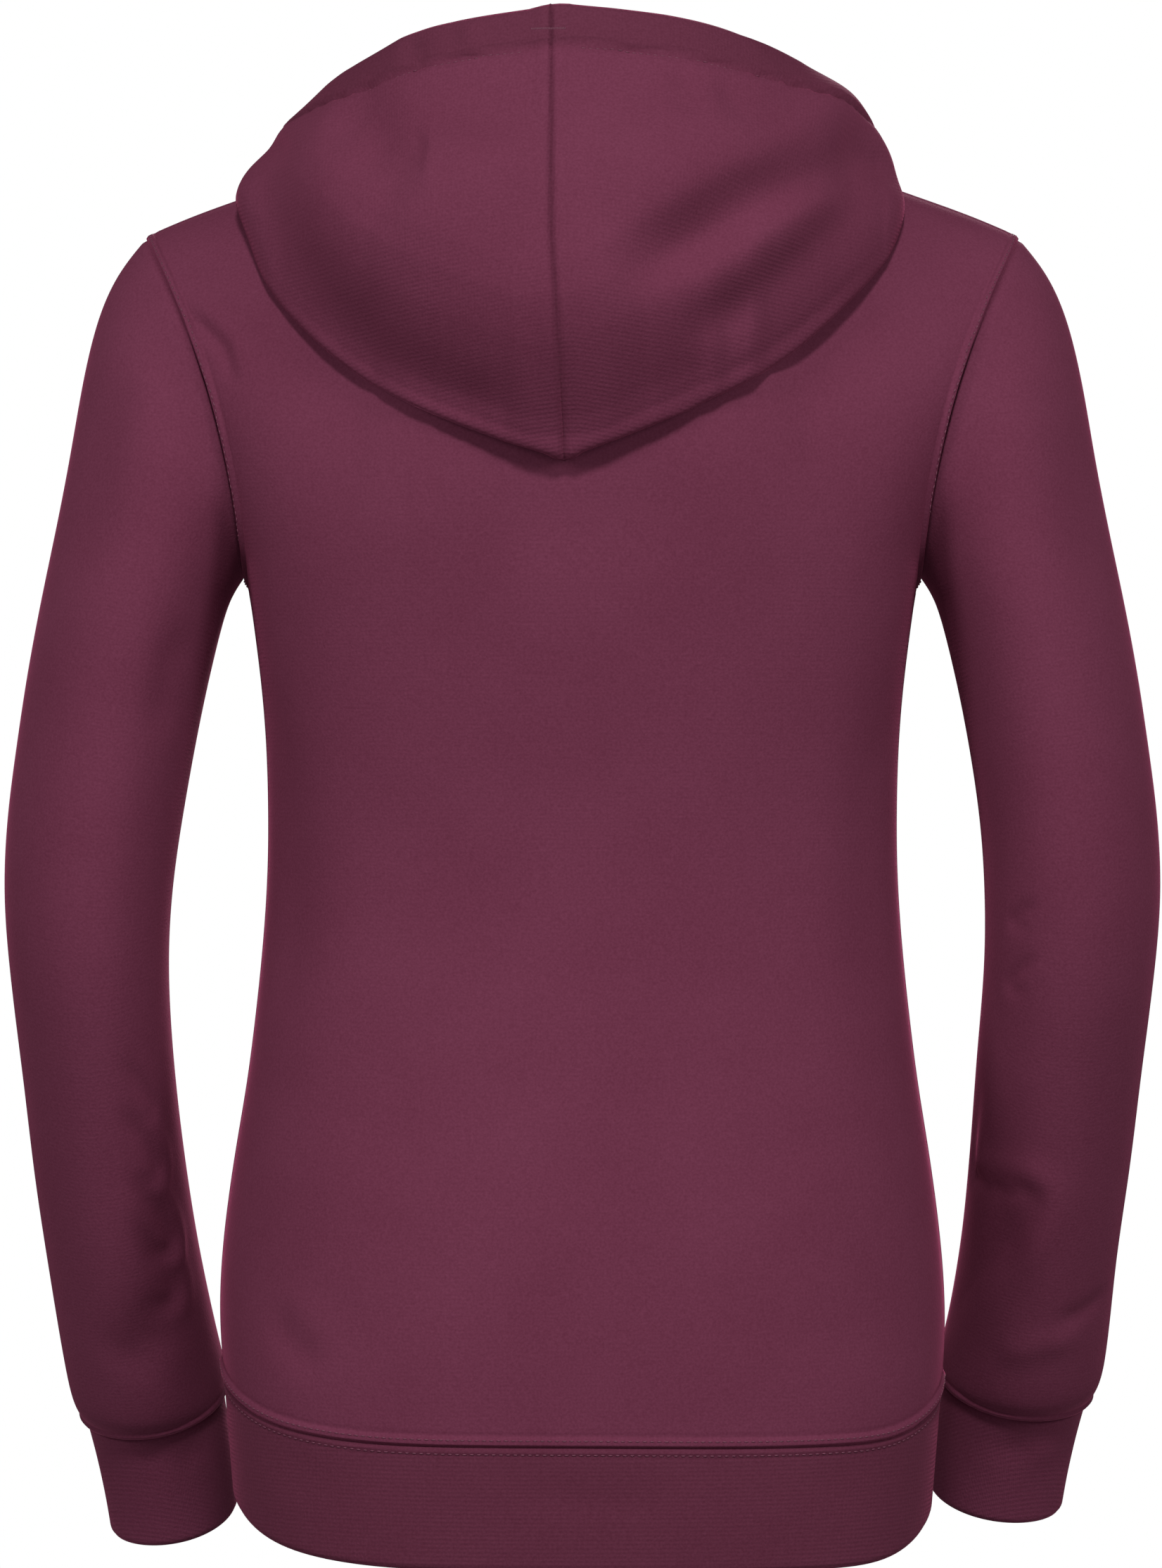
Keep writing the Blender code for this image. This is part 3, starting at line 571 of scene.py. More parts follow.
LIP_PLACE = 1.7    # of the fold's width
LIP_WIDTH = 1.1    # of the fold's width
FAR_OUT = 400      # clear of the garment
WORN_DEPTH = 100   # about how far the cloth is from the middle plane


def fold_height(points, normals, tree, row):
    """The height of one soft fold over the whole face, with its line laid on the cloth."""
    side = 1 if row["seen"] == "back" else -1
    line = []
    for x, z in row["line"]:
        hit = tree.ray_cast(mm(x, side * FAR_OUT, z), Vector((0, -side, 0)))[0]
        line.append(hit or tree.find_nearest(mm(x, side * WORN_DEPTH, z))[0])
    line = [np.array(point) for point in through(line)]
    distance, along, foot, ways = measured(points, line)
    beside = np.sign(np.sum(np.cross(ways, points - foot) * normals, axis=1))
    width, ends = row["width"], row["ends"]
    fade = step(along, 0, ends) * (1 - step(along, 1 - ends, 1))
    height = row["height"] * np.exp(-(distance / width) ** 2)
    if row["lip"]:
        off = distance * beside - LIP_PLACE * width
        height += row["lip"] * np.exp(-(off / (LIP_WIDTH * width)) ** 2)
    return height * fade * facing(normals, side)


SMOOTHED = 9   # gathered points that are averaged for a place in the row
STEPS_IN = 4   # from the border to the row, over the curved cloth


def stitch_places(mesh, run, inset, on_line=()):
    """Points along a row of stitches, at a distance in from a run of the border. They are the
    points that were gathered on the line, where there are any."""
    tree = cloth_tree(mesh)
    if len(on_line):
        gathered = [mesh.vertices[vert].co for vert in on_line]
        return [sum(gathered[i:i + SMOOTHED], Vector()) / SMOOTHED
                for i in range(len(gathered) - SMOOTHED + 1)], tree
    normals = read(mesh, "normal")
    near = {vert: [] for vert in run}
    for face in mesh.polygons:
        for vert in face.vertices:
            if vert in near:
                near[vert].append(face.center)
    row = []
    for i, vert in enumerate(run):
        here = mesh.vertices[vert].co
        tangent = mesh.vertices[run[min(i + 1, len(run) - 1)]].co
        tangent = (tangent - mesh.vertices[run[max(i - 1, 0)]].co).normalized()
        normal = Vector(normals[vert])
        inward = normal.cross(tangent).normalized()
        middle = sum(near[vert], Vector()) / len(near[vert]) - here
        if inward.dot(middle) < 0:
            inward.negate()
        place = here
        for _ in range(STEPS_IN):
            place = tree.find_nearest(place + inward * inset / (STEPS_IN * 1000))[0]
        row.append(place)
    return row, tree


def even_steps(row, pitch):
    """Points at an even pitch, in millimetres, along a line, each with the line's direction."""
    lengths = [0]
    for a, b in zip(row, row[1:]):
        lengths.append(lengths[-1] + (b - a).length * 1000)
    places = []
    wanted = pitch / 2
    for i in range(len(row) - 1):
        while wanted <= lengths[i + 1] and lengths[i + 1] > lengths[i]:
            t = (wanted - lengths[i]) / (lengths[i + 1] - lengths[i])
            places.append((row[i].lerp(row[i + 1], t), (row[i + 1] - row[i]).normalized()))
            wanted += pitch
    return places


STITCH_PITCH = 3.4
STITCH_LENGTH = 2.5
STITCH_RADIUS = 0.34
STITCH_LIFT = 0.1


def finish_thread(bm, name):
    """A finished piece of sewing, which stays with the garment."""
    mesh = to_mesh(bm, name)
    mesh.shade_smooth()
    mesh.materials.append(THREAD)
    obj = new_object(name, mesh)
    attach(obj, "garment")
    return obj


def sew(name, rows):
    """One mesh of short rounded stitches along the rows of places, but for each row's ends."""
    bm = bmesh.new()
    for row, tree in rows:
        for place, way in even_steps(row, STITCH_PITCH)[1:-1]:
            spot, normal = tree.find_nearest(place)[:2]
            side = way.cross(normal).normalized()
            up = side.cross(way).normalized()
            turn = Matrix((way * STITCH_LENGTH / 2000, side * STITCH_RADIUS / 1000,
                           up * STITCH_RADIUS / 1000)).transposed().to_4x4()
            turn.translation = spot + up * (STITCH_LIFT / 1000)
            bmesh.ops.create_icosphere(bm, subdivisions=1, radius=1, matrix=turn)
    return finish_thread(bm, name)


def set_grain(mesh, across, along):
    """Stores the panel's own directions on its points, in metres, for the knit to follow."""
    grain = mesh.attributes.new("grain", "FLOAT_VECTOR", "POINT")
    values = np.stack([across, along, np.zeros(len(across))], axis=1)
    grain.data.foreach_set("vector", values.astype(np.float32).ravel())


def give_wall(obj, thickness):
    """Gives a piece of cloth its thickness in millimetres, inwards from its outer face."""
    wall = obj.modifiers.new("wall", "SOLIDIFY")
    wall.thickness = thickness / 1000
    wall.offset = -1
    wall.material_offset = len(obj.data.materials) - 1


TORSO_RADIUS = 0.14    # metres
TORSO_FLATNESS = 0.02  # evens out the columns at the sides


def torso_grain(points):
    """Columns run up the body and rows run round it."""
    turn = np.arctan2(points[:, 0], np.abs(points[:, 1]) + TORSO_FLATNESS)
    return turn * TORSO_RADIUS, points[:, 2]


ON_LINE = 0.5            # points this close to a gathered row of stitches are on it
# Where the doubled hem's painted shade ends, from its stitches.
HEM_EDGE = (-0.5, 0.3)   # from its stitches, where the doubled cloth ends


def make_panel(name, seams, folds=(), strips=SEAM_STRIPS, level=2, grain=torso_grain,
               face=FLEECE_FACE, wall=CLOTH_WALL, painted_shade=0.0, tree=None, room=None,
               moved=None):
    """A panel of cloth on its solid: folds and seams shape it, and stitches go into it. The
    folds are laid on the tree of faces given, or else on the panel. room limits how far they go
    in, and moved shifts the finished face."""
    mesh = refined(name + "_cloth", outer_face(name), strips, level)
    points, normals = read(mesh, "co"), read(mesh, "normal")
    tree = tree or cloth_tree(mesh)
    set_grain(mesh, *grain(points))
    height = np.zeros(len(points))
    for row in folds:
        height += fold_height(points, normals, tree, row)
    runs = border_runs(mesh, name)
    sewn = []
    painted_shade = np.full(len(points), painted_shade)
    if room:
        depth = room(points)
        height = np.where(height < 0, -depth * np.tanh(-height / depth), height)
    for other, run in runs:
        seam = SEAMS[next((seams[key] for key in seams if other.startswith(key)), "plain")]
        distance, along, foot, _ = measured(points, [points[vert] for vert in run])
        if "gathers" in seam:
            gather_points(points, distance, foot, seam["stitch"], seam["gathers"])
        length = sum(np.linalg.norm(points[b] - points[a]) for a, b in zip(run, run[1:])) * 1000
        height += seam_height(seam, distance, np.minimum(along, 1 - along) * length, points)
        # The hood's hem is darkened up to its stitches: painted shade.
        if "painted_shade" in seam:
            painted_shade = np.maximum(painted_shade, 1 - step(distance - seam["stitch"], *HEM_EDGE))
        if "stitch" in seam:
            on_line = np.nonzero(np.abs(distance - seam["stitch"]) < ON_LINE)[0]
            on_line = on_line[np.argsort(along[on_line])] if "gathers" in seam else ()
            sewn.append((run, seam["stitch"], on_line))
    for other, run in runs:
        if other != "open":
            for vert in run:
                beside = SOLID_TREES[other].find_nearest(points[vert])[0]
                points[vert] += (np.array(beside) - points[vert]) * SEAM_CLOSING
    points = points + normals * height[:, None] / 1000
    if moved:
        points += moved(points, facing(normals, 1))
    mesh.vertices.foreach_set("co", points.ravel())
    mesh.update()
    mesh.shade_smooth()
    mesh.materials.append(face)
    mesh.materials.append(FLEECE_BACK)
    # How far painted shade darkens the colour at each point.
    shade = mesh.attributes.new("painted_shade", "FLOAT", "POINT")
    shade.data.foreach_set("value", painted_shade.astype(np.float32))
    obj = new_object(name + "_cloth", mesh)
    give_wall(obj, wall)
    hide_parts(name)
    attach(obj, "garment")
    rows = [stitch_places(mesh, run, inset, on_line) for run, inset, on_line in sewn]
    stitches = [sew(name + "_stitches", rows)] if rows else []
    return obj, stitches


BACK_SEAMS = {"sleeve": "armhole", "waistband": "above_band"}
BACK_FOLDS = (
    fold(4, -2.2, (193, -86), (190, -98), (185, -112), (179, -126), lip=1),
    fold(20, -2.5, (150, -255), (142, -320), (140, -380), (150, -450)),
    fold(18, -2, (-146, -250), (-138, -310), (-135, -370), (-143, -440)),
    fold(26, -2.2, (60, -170), (20, -190), (-30, -188), (-70, -172)),
    fold(30, 2, (100, -470), (110, -520), (112, -575)),
    fold(24, 1.6, (-95, -480), (-108, -530), (-110, -580)),
    fold(9, -1.6, (150, -560), (135, -578), (118, -590), lip=0.7),
)

back, back_stitches = make_panel("back", BACK_SEAMS, BACK_FOLDS, level=3)


# ------------------------------------------------------------------ fronts
# Two front panels of the same fleece, one for each side of the zip. Their edges are turned in
# over the zip's tapes and topstitched, and they meet the back at the shoulders and the sides.

FRONT_SEAMS = {"sleeve": "armhole", "waistband": "above_band", "open": "front_edge"}
FRONT_FOLDS = {
    "front_left": (
        fold(9, -2.6, (178, -140), (150, -158), (118, -168), lip=1.2, seen="front"),
        fold(12, -2.2, (166, -185), (140, -206), (104, -226), (72, -238), seen="front"),
        fold(16, -2.2, (28, -330), (34, -390), (30, -450), seen="front"),
        fold(8, -1.6, (22, -500), (34, -540), (52, -578), lip=0.8, seen="front"),
        fold(20, -2.4, (142, -300), (134, -370), (140, -440), seen="front"),
    ),
    "front_right": (
        fold(10, -2.4, (-182, -132), (-156, -150), (-126, -164), lip=1, seen="front"),
        fold(13, -2, (-164, -190), (-130, -214), (-90, -228), seen="front"),
        fold(15, -2.2, (-26, -290), (-34, -350), (-30, -420), seen="front"),
        fold(9, -1.8, (-24, -480), (-38, -530), (-60, -574), lip=0.8, seen="front"),
        fold(18, -2.2, (-144, -320), (-136, -380), (-141, -430), seen="front"),
    ),
}

for name, folds in FRONT_FOLDS.items():
    front, stitches = make_panel(name, FRONT_SEAMS, folds)


# ------------------------------------------------------------------ sleeves
# Each sleeve is one piece of fleece, closed by a seam under the arm and set into the armhole.
# They hang a little forward and crease on the inner side of the elbow and above the cuff.

SLEEVE_SEAMS = {"back": "sleeve_head", "front": "sleeve_head", "cuff": "above_cuff"}
SLEEVE_FOLDS = {
    "sleeve_left": (
        fold(5, -2.6, (185, -528), (199, -537), (215, -541), lip=1),
        fold(6, -2.4, (181, -553), (198, -562), (218, -566), lip=1),
        fold(5, -2.2, (191, -492), (205, -500), (217, -503), lip=0.9),
        fold(4, -1.6, (194, -464), (206, -470), (216, -472)),
        fold(16, -3, (196, -560), (215, -590), (232, -604)),
        fold(22, -2.6, (226, -110), (232, -170), (240, -230)),
        fold(12, -1.5, (197, -92), (189, -122), (181, -154), (174, -184)),
        fold(12, -2, (186, -232), (196, -262), (202, -300)),
        fold(8, -2.4, (196, -352), (216, -362), (240, -360), lip=1, seen="front"),
        fold(9, -2.6, (198, -384), (222, -396), (252, -394), lip=1.1, seen="front"),
        fold(7, -1.8, (262, -420), (240, -428), (222, -424), seen="front"),
        fold(12, -2.2, (182, -240), (204, -266), (232, -280), seen="front"),
    ),
    "sleeve_right": (
        fold(4, -1.8, (-193, -376), (-205, -380), (-214, -380), lip=0.8),
        fold(4, -1.8, (-192, -404), (-204, -410), (-214, -412), lip=0.8),
        fold(7, -2.2, (-195, -446), (-190, -500), (-184, -556), (-180, -588), lip=1.2),
        fold(16, -3, (-206, -450), (-204, -520), (-210, -580)),
        fold(8, 1.6, (-200, -596), (-222, -588), (-246, -584)),
        fold(6, -1.8, (-258, -560), (-244, -572), (-226, -578)),
        fold(22, -2.2, (-230, -120), (-238, -180), (-246, -240)),
        fold(13, -2, (-197, -84), (-189, -118), (-180, -150), (-172, -182)),
        fold(8, -2.2, (-192, -340), (-214, -352), (-240, -352), lip=1, seen="front"),
        fold(10, -2.6, (-194, -374), (-220, -388), (-250, -388), lip=1.1, seen="front"),
        fold(7, -2, (-262, -404), (-240, -414), (-220, -412), seen="front"),
        fold(12, -2.4, (-180, -236), (-202, -262), (-228, -276), seen="front"),
    ),
}


# Metres.
ARM_RADIUS = 0.055
ARM_FLATNESS = 0.004       # evens out the columns at the sides
ARM_ENDS = (0.03, 0.09)    # what the middle line leaves out at the cuff and at the shoulder
ARM_SLICE = 0.02           # half the height of a slice that gives a point of that line
ARM_POINTS = 12


def limb_grain(points):
    """Columns run down the arm along its middle line, and rows run round it."""
    low, high = points[:, 2].min() + ARM_ENDS[0], points[:, 2].max() - ARM_ENDS[1]
    levels = np.linspace(low, high, ARM_POINTS)
    middle = []
    for z in levels:
        slab = points[np.abs(points[:, 2] - z) < ARM_SLICE]
        middle.append((slab.min(axis=0) + slab.max(axis=0)) / 2)
    middle = np.array(middle)
    slope = np.gradient(middle[:, :2], middle[:, 2], axis=0)
    at = points[:, 2]
    x = points[:, 0] - np.interp(at, middle[:, 2], middle[:, 0])
    y = points[:, 1] - np.interp(at, middle[:, 2], middle[:, 1])
    along = at + x * np.interp(at, middle[:, 2], slope[:, 0])
    along += y * np.interp(at, middle[:, 2], slope[:, 1])
    return np.arctan2(x, np.abs(y) + ARM_FLATNESS) * ARM_RADIUS, along


for name, folds in SLEEVE_FOLDS.items():
    sleeve, stitches = make_panel(name, SLEEVE_SEAMS, folds, strips=(), level=3,
                                  grain=limb_grain)


# ------------------------------------------------------------------ cuffs
# Each cuff is a band of the same fleece, folded double and closed by a seam under the wrist.
# It is cut a little narrower than the sleeve, which is eased into it.

CUFF_SEAMS = {"sleeve": "cuff_top", "open": "folded_edge"}
CUFF_FOLDS = {
    "cuff_left": (
        fold(9, -1.6, (214, -622), (212, -648), (216, -674)),
        fold(8, -1.2, (190, -622), (194, -646), (192, -668)),
    ),
    "cuff_right": (
        fold(9, -1.6, (-206, -622), (-212, -644), (-208, -664)),
        fold(7, 1, (-230, -626), (-228, -646), (-226, -664)),
    ),
}
CUFF_RADIUS = 0.04   # metres
CUFF_ENDS = (20, 80)   # per cent of its points that are below its foot and its top part


def cuff_grain(points):
    """Rows run round the cuff, square to the line from its foot to its top."""
    low, high = np.percentile(points[:, 2], CUFF_ENDS)
    foot = points[points[:, 2] < low].mean(axis=0)
    axis = points[points[:, 2] > high].mean(axis=0) - foot
    axis /= np.linalg.norm(axis)
    out = points - foot
    turn = np.arctan2(out[:, 0], np.abs(out[:, 1]) + ARM_FLATNESS)
    return turn * CUFF_RADIUS, out @ axis


for name, folds in CUFF_FOLDS.items():
    cuff, stitches = make_panel(name, CUFF_SEAMS, folds, grain=cuff_grain, wall=DOUBLED_WALL,
                                face=FLEECE_RIDGED)


# ------------------------------------------------------------------ waistband
# The waistband is a strip of the same fleece, folded double along its lower edge. Its rows of
# knit show as fine lines. It is sewn to the body with a piped-looking topstitched seam.

BAND_SEAMS = {"back": "band_top", "front": "band_top", "open": "folded_edge"}
BAND_FOLDS = (
    fold(12, -1.4, (140, -615), (128, -640), (120, -660)),
    fold(14, -1.2, (-128, -618), (-120, -642), (-104, -664)),
    fold(10, -1, (40, -640), (0, -648), (-50, -644)),
    fold(10, -1.4, (60, -605), (66, -628), (60, -650), seen="front"),
    fold(12, -1.4, (-80, -606), (-88, -630), (-84, -652), seen="front"),
)

# The whole band's colour is darkened: painted shade.
waistband, stitches = make_panel("waistband", BAND_SEAMS, BAND_FOLDS, wall=DOUBLED_WALL,
                                 face=FLEECE_RIDGED, painted_shade=1.0)


# ------------------------------------------------------------------ hood
# The hood is two halves joined by a centre seam, one layer thick. Its opening edge is folded
# to a hem 22 mm wide. Lowered, it turns over the neck seam and hangs open down the back.

HOOD_SEAMS = {"hood": "hood_centre", "open": "hood_hem"}
HOOD_FOLDS = (
    fold(14, -3, (149, -14), (145, -44), (135, -66), (119, -89), (101, -108), (84, -120),
         (62, -131), (40, -138), (16, -143), ends=0.15),
    fold(30, 7, (90, -36), (70, -42), (50, -32), (44, 0)),
    fold(16, -5.5, (118, 8), (108, 0), (99, -10), (93, -24), (90, -40)),
    fold(5, 1.6, (50, 46), (51, 38), (50, 28)),
    fold(6, -1.6, (82, 38), (78, 30), (72, 20)),
    fold(14, -11.5, (-146, -8), (-124, -20), (-98, -32), (-76, -45), (-56, -59), (-36, -72),
         (-12, -87), ends=0.22),
    fold(12, -6.5, (-142, -18), (-127, -44), (-108, -64), (-92, -79), (-68, -97), (-44, -111),
         ends=0.22),
    fold(8, 1.2, (-138, -56), (-116, -80), (-94, -97), (-72, -112), (-52, -124), ends=0.25),
    fold(26, 5, (-84, 8), (-56, -8), (-36, -34), (-26, -60)),
    fold(7, -2.4, (-46, 24), (-50, 8), (-48, -8)),
    fold(8, -2, (-64, 20), (-70, 2), (-74, -10)),
)
# Places across the hood, and how far its lower edge hangs off the back there.
EDGE_GAP = ((-60, 6.5), (-25, 9), (8, 13), (40, 9), (75, 6.5))
MOST_DRAWN_IN = 18    # how far the edge may come in for that
DRAWN_IN_BELOW = 75   # above the edge, where the drawing in ends
LEAST_GAP = 2.0       # between the hood and the back
# Heights above the lower edge, and how far the hood bellies out there.
BELLY = ((0, 0), (8, -2.5), (16, -2.0), (30, 1.0), (50, 5.5), (70, 9.0), (85, 10.0), (120, 8.0),
         (170, 3.0))
RIGHT_FULLER = 0.2    # how much larger the belly of the right half is
# Heights above the lower edge, and how far in the outer layer can go before it meets the inner.
HOOD_ROOM = ((0, 0.5), (6, 3.5), (14, 10), (20, 15), (30, 20), (45, 26))
# Heights, and how far the centre seam stands to the left there.
SEAM_SHIFT = ((-150, 4.0), (-60, 6.0), (40, 2.5))
SEAM_MIDDLE = 12      # the place across where that is full
SEAM_REACH = 60
# Places across the hood, and how far its rim stands up there.
RIM_RISE = ((-130, 1.0), (-103, 4.0), (-75, 1.2), (-40, 1.8), (-15, 1.5), (2, 0.8), (20, -1.4),
            (60, -0.8), (85, 0.6), (110, -1.9), (135, -0.6))
HOOD_BULGES = (
    # place across and up, width, how far it goes out across and up
    (149, -13, 9, -4.5, 0), (163, -34, 14, 4.0, 0),
    (-126, 12, 18, -4.0, 4.5), (-149, -22, 11, 4.2, 0),
)
# Where these shifts fade in or out: x across, y out from the wearer's middle and z up.
DRAWN_IN_Y = (0, 50)
FULLER_X = (-60, 20)
BELLY_RIGHT_X, BELLY_LEFT_X, BELLY_TOP_Z = (-152, -110), (120, 158), (-30, 30)
HANGING_Y = (20, 90)
RIM_Z = (0, 40)
HOOD_HALVES = ("hood_left", "hood_right")
BOTH_HALVES = solid_tree(*HOOD_HALVES)
# Where the lower edge is looked for: places across, heights from below, and metres out, past
# which cloth is the part that hangs down the back.
EDGE_ACROSS = range(-144, 150, 4)
EDGE_UP = range(-160, 0)
EDGE_OUT = 0.03


def read_off(table, values):
    """What a table of pairs gives for the values, in line between its rows."""
    return np.interp(values, *zip(*table))


def lower_edge():
    """The hood's lower edge as seen from the back: places across it, their height, and how far
    the edge is from the back there, in millimetres."""
    places, heights, gaps = [], [], []
    for x in EDGE_ACROSS:
        for z in EDGE_UP:
            spot = BOTH_HALVES.ray_cast(mm(x, FAR_OUT, z), Vector((0, -1, 0)))[0]
            if spot and spot.y > EDGE_OUT:
                under = SOLID_TREES["back"].ray_cast(spot, Vector((0, -1, 0)))[0]
                places.append(x)
                heights.append(z)
                gaps.append((spot.y - under.y) * 1000 if under else gaps[-1] if gaps else 0)
                break
    return places, heights, gaps


EDGE_PLACES, EDGE_HEIGHTS, EDGE_GAPS = lower_edge()


def above_edge(points):
    """How far each point is above the hood's lower edge, in millimetres."""
    x, _, z = (points * 1000).T
    return z - np.interp(x, EDGE_PLACES, EDGE_HEIGHTS)


def hood_room(points):
    """How far in the outer layer can go at each point, in millimetres."""
    return read_off(HOOD_ROOM, above_edge(points))


def hood_drape(points, outer):
    """How the hood hangs: its outer layer bellies out above its lower edge, which lies in
    towards the back. Its centre seam stands a little to the left, and its rim is uneven."""
    x, y, z = (points * 1000).T
    above = above_edge(points)
    too_far = np.interp(x, EDGE_PLACES, EDGE_GAPS) - read_off(EDGE_GAP, x)
    drawn_in = np.clip(too_far, 0, MOST_DRAWN_IN)
    shift = np.zeros_like(points)
    shift[:, 1] = -drawn_in * (1 - step(above, 0, DRAWN_IN_BELOW)) * step(y, *DRAWN_IN_Y)
    for vert in np.nonzero((shift[:, 1] < 0) & (y > 0))[0]:
        hit = SOLID_TREES["back"].ray_cast(Vector(points[vert]), Vector((0, -1, 0)))[0]
        if hit:
            free = (points[vert][1] - hit.y) * 1000 - LEAST_GAP
            shift[vert, 1] = max(shift[vert, 1], -max(free, 0))
    fuller = 1 + RIGHT_FULLER * (1 - step(x, *FULLER_X))
    belly = read_off(BELLY, above / fuller) * fuller
    belly *= step(x, *BELLY_RIGHT_X) * (1 - step(x, *BELLY_LEFT_X))
    belly *= 1 - step(z, *BELLY_TOP_Z)
    shift[:, 1] += belly * outer
    seam = read_off(SEAM_SHIFT, z) * np.exp(-((x - SEAM_MIDDLE) / SEAM_REACH) ** 2)
    hanging = step(y, *HANGING_Y)
    shift[:, 0] = seam * hanging
    shift[:, 2] = step(z, *RIM_Z) * read_off(RIM_RISE, x) * hanging
    for place_x, place_z, width, out_x, out_z in HOOD_BULGES:
        near = np.exp(-((x - place_x) / width) ** 2 - ((z - place_z) / width) ** 2)
        shift[:, 0] += near * out_x
        shift[:, 2] += near * out_z
    return shift / 1000


ROW_FALL = 0.16       # of the distance from the centre seam
COLUMN_SPREAD = 1.1   # for the cloth that curves away at the sides


def hood_grain(points):
    """Rows run across the hood, falling a little towards its centre seam."""
    return points[:, 0] * COLUMN_SPREAD, points[:, 2] + ROW_FALL * np.abs(points[:, 0])


hood_trees = []
for name in HOOD_HALVES:
    hood, stitches = make_panel(name, HOOD_SEAMS, HOOD_FOLDS, strips=(), level=3,
                                grain=hood_grain, face=FLEECE_RIDGED, tree=BOTH_HALVES,
                                room=hood_room, moved=hood_drape)
    hood_trees.append(cloth_tree(hood.data))

# A bar tack holds the hem's two ends together across the centre seam.
TACK_LEFT, TACK_RIGHT, TACK_Z = 23.7, 6.9, 38.3
TACK_PITCH = 0.6
TACK_LENGTH = 1.5

turn = Matrix.Diagonal((STITCH_RADIUS / 1000, STITCH_RADIUS / 1000, TACK_LENGTH / 2000, 1))
bm = bmesh.new()
for i in range(int((TACK_LEFT - TACK_RIGHT) / TACK_PITCH)):
    start = mm(TACK_LEFT - i * TACK_PITCH, FAR_OUT, TACK_Z)
    hits = [tree.ray_cast(start, Vector((0, -1, 0)))[0] for tree in hood_trees]
    spot = max((hit for hit in hits if hit), key=lambda hit: hit.y)
    bmesh.ops.create_icosphere(bm, subdivisions=1, radius=1,
                               matrix=Matrix.Translation(spot) @ turn)
finish_thread(bm, "hood_bar_tack")


# ------------------------------------------------------------------ zip tapes
# Two tapes of woven polyester, dyed to match. They are sewn under the edges of the fronts, and
# the teeth are clamped on their inner edges. Fine ribs of the weave run along them.

RIB = 1.0    # mm. The real ribs are 0.5 mm apart, drawn coarser so that they show
PICK = 0.8   # mm. The real weft threads are 0.4 mm apart, also drawn coarser
RIB_HEIGHT = 0.14
PICK_HEIGHT = 0.05
TAPE_WALL = 0.6
TAPE_DARK = "#4E2236"
TAPE_LIGHT = "#6A3148"


def woven_tape():
    """Polyester tape, with a slight gloss and ribs along it."""
    material, tree, shader = new_material("woven_polyester_tape", {"Roughness": 0.6})
    picks, ribs = grain_waves(tree, PICK, RIB)
    weave = add(tree, "ShaderNodeMath", {0: picks, 1: PICK_HEIGHT}, operation="MULTIPLY")
    ribbed = add(tree, "ShaderNodeMath", {0: ribs, 1: RIB_HEIGHT, 2: weave.outputs[0]},
                 operation="MULTIPLY_ADD")
    bump = add(tree, "ShaderNodeBump", {"Height": ribbed.outputs[0], "Distance": MM_HIGH})
    tree.links.new(bump.outputs["Normal"], shader.inputs["Normal"])
    ramp = add(tree, "ShaderNodeValToRGB", {"Fac": ribs})
    ramp.color_ramp.elements[0].color = linear(TAPE_DARK)
    ramp.color_ramp.elements[1].color = linear(TAPE_LIGHT)
    tree.links.new(ramp.outputs["Color"], shader.inputs["Base Color"])
    return material


WOVEN = woven_tape()

for name in ("zip_tape_left", "zip_tape_right"):
    mesh = refined(name + "_cloth", outer_face(name), (), 1)
    points = read(mesh, "co")
    set_grain(mesh, points[:, 0], points[:, 2])
    mesh.shade_smooth()
    mesh.materials.append(WOVEN)
    tape = new_object(name + "_cloth", mesh)
    give_wall(tape, TAPE_WALL)
    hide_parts(name)
    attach(tape, "garment")


# ------------------------------------------------------------------ zip teeth
# Nickel-plated brass teeth, clamped one by one on the cord of each tape. The two rows mesh on
# the middle line, half a step apart, and a box at the foot takes the pin of the other side.

TOOTH_STEP = 1.9
TOOTH_LENGTH = 3.5
TOOTH_DEPTH = 2.5
TOOTH_THICKNESS = 1.3
TOOTH_NECK = 0.72       # of its thickness, where it leaves the tape
TOOTH_BEYOND = 0.75     # that its head reaches over the middle line
TOOTH_ROUNDING = 0.26
CHAIN_ENDS = (1.5, 1)   # bare length at the foot and at the top
CHAIN_STEPS = 160
FOOT_BOX = (7.0, 3.0, 7.5)
FOOT_PLACE = (0, 0.2, 2.4)   # from the last tooth
FOOT_ROUNDING = 0.5
PLATE_COLOUR = "#ABA69D"
PLATE_SCALE = 700       # the plate's sheen changes about every 1.4 mm
PLATE_ROUGHNESS = (0.26, 0.44)
FLAT_FACE = 0.6         # square millimetres. Larger faces of the metal parts are flat
CREASED = radians(20)   # metal shows an edge where it bends by more


def nickel():
    """Nickel plate: bright metal with the soft, faintly uneven sheen that tumbling leaves."""
    material, tree, shader = new_material("nickel_plate", {"Base Color": linear(PLATE_COLOUR),
                                                           "Metallic": 1.0})
    place = add(tree, "ShaderNodeTexCoord").outputs["Object"]
    cloud = add(tree, "ShaderNodeTexNoise", {"Vector": place, "Scale": PLATE_SCALE, "Detail": 3})
    rough = add(tree, "ShaderNodeMapRange", {0: cloud.outputs["Fac"], 3: PLATE_ROUGHNESS[0],
                                             4: PLATE_ROUGHNESS[1]})
    tree.links.new(rough.outputs[0], shader.inputs["Roughness"])
    return material


def rounded_box(bm, size, matrix, radius):
    """A box of a size in millimetres with its edges rounded."""
    made = bmesh.ops.create_cube(bm, size=0.001)
    bmesh.ops.scale(bm, vec=size, verts=made["verts"])
    edges = list({edge for vert in made["verts"] for edge in vert.link_edges})
    bevelled = bmesh.ops.bevel(bm, geom=edges, offset=radius / 1000, affect="EDGES", segments=1,
                               profile=0.5, material=-1)
    verts = list({vert for face in bevelled["faces"] for vert in face.verts})
    bmesh.ops.transform(bm, matrix=matrix, verts=verts)


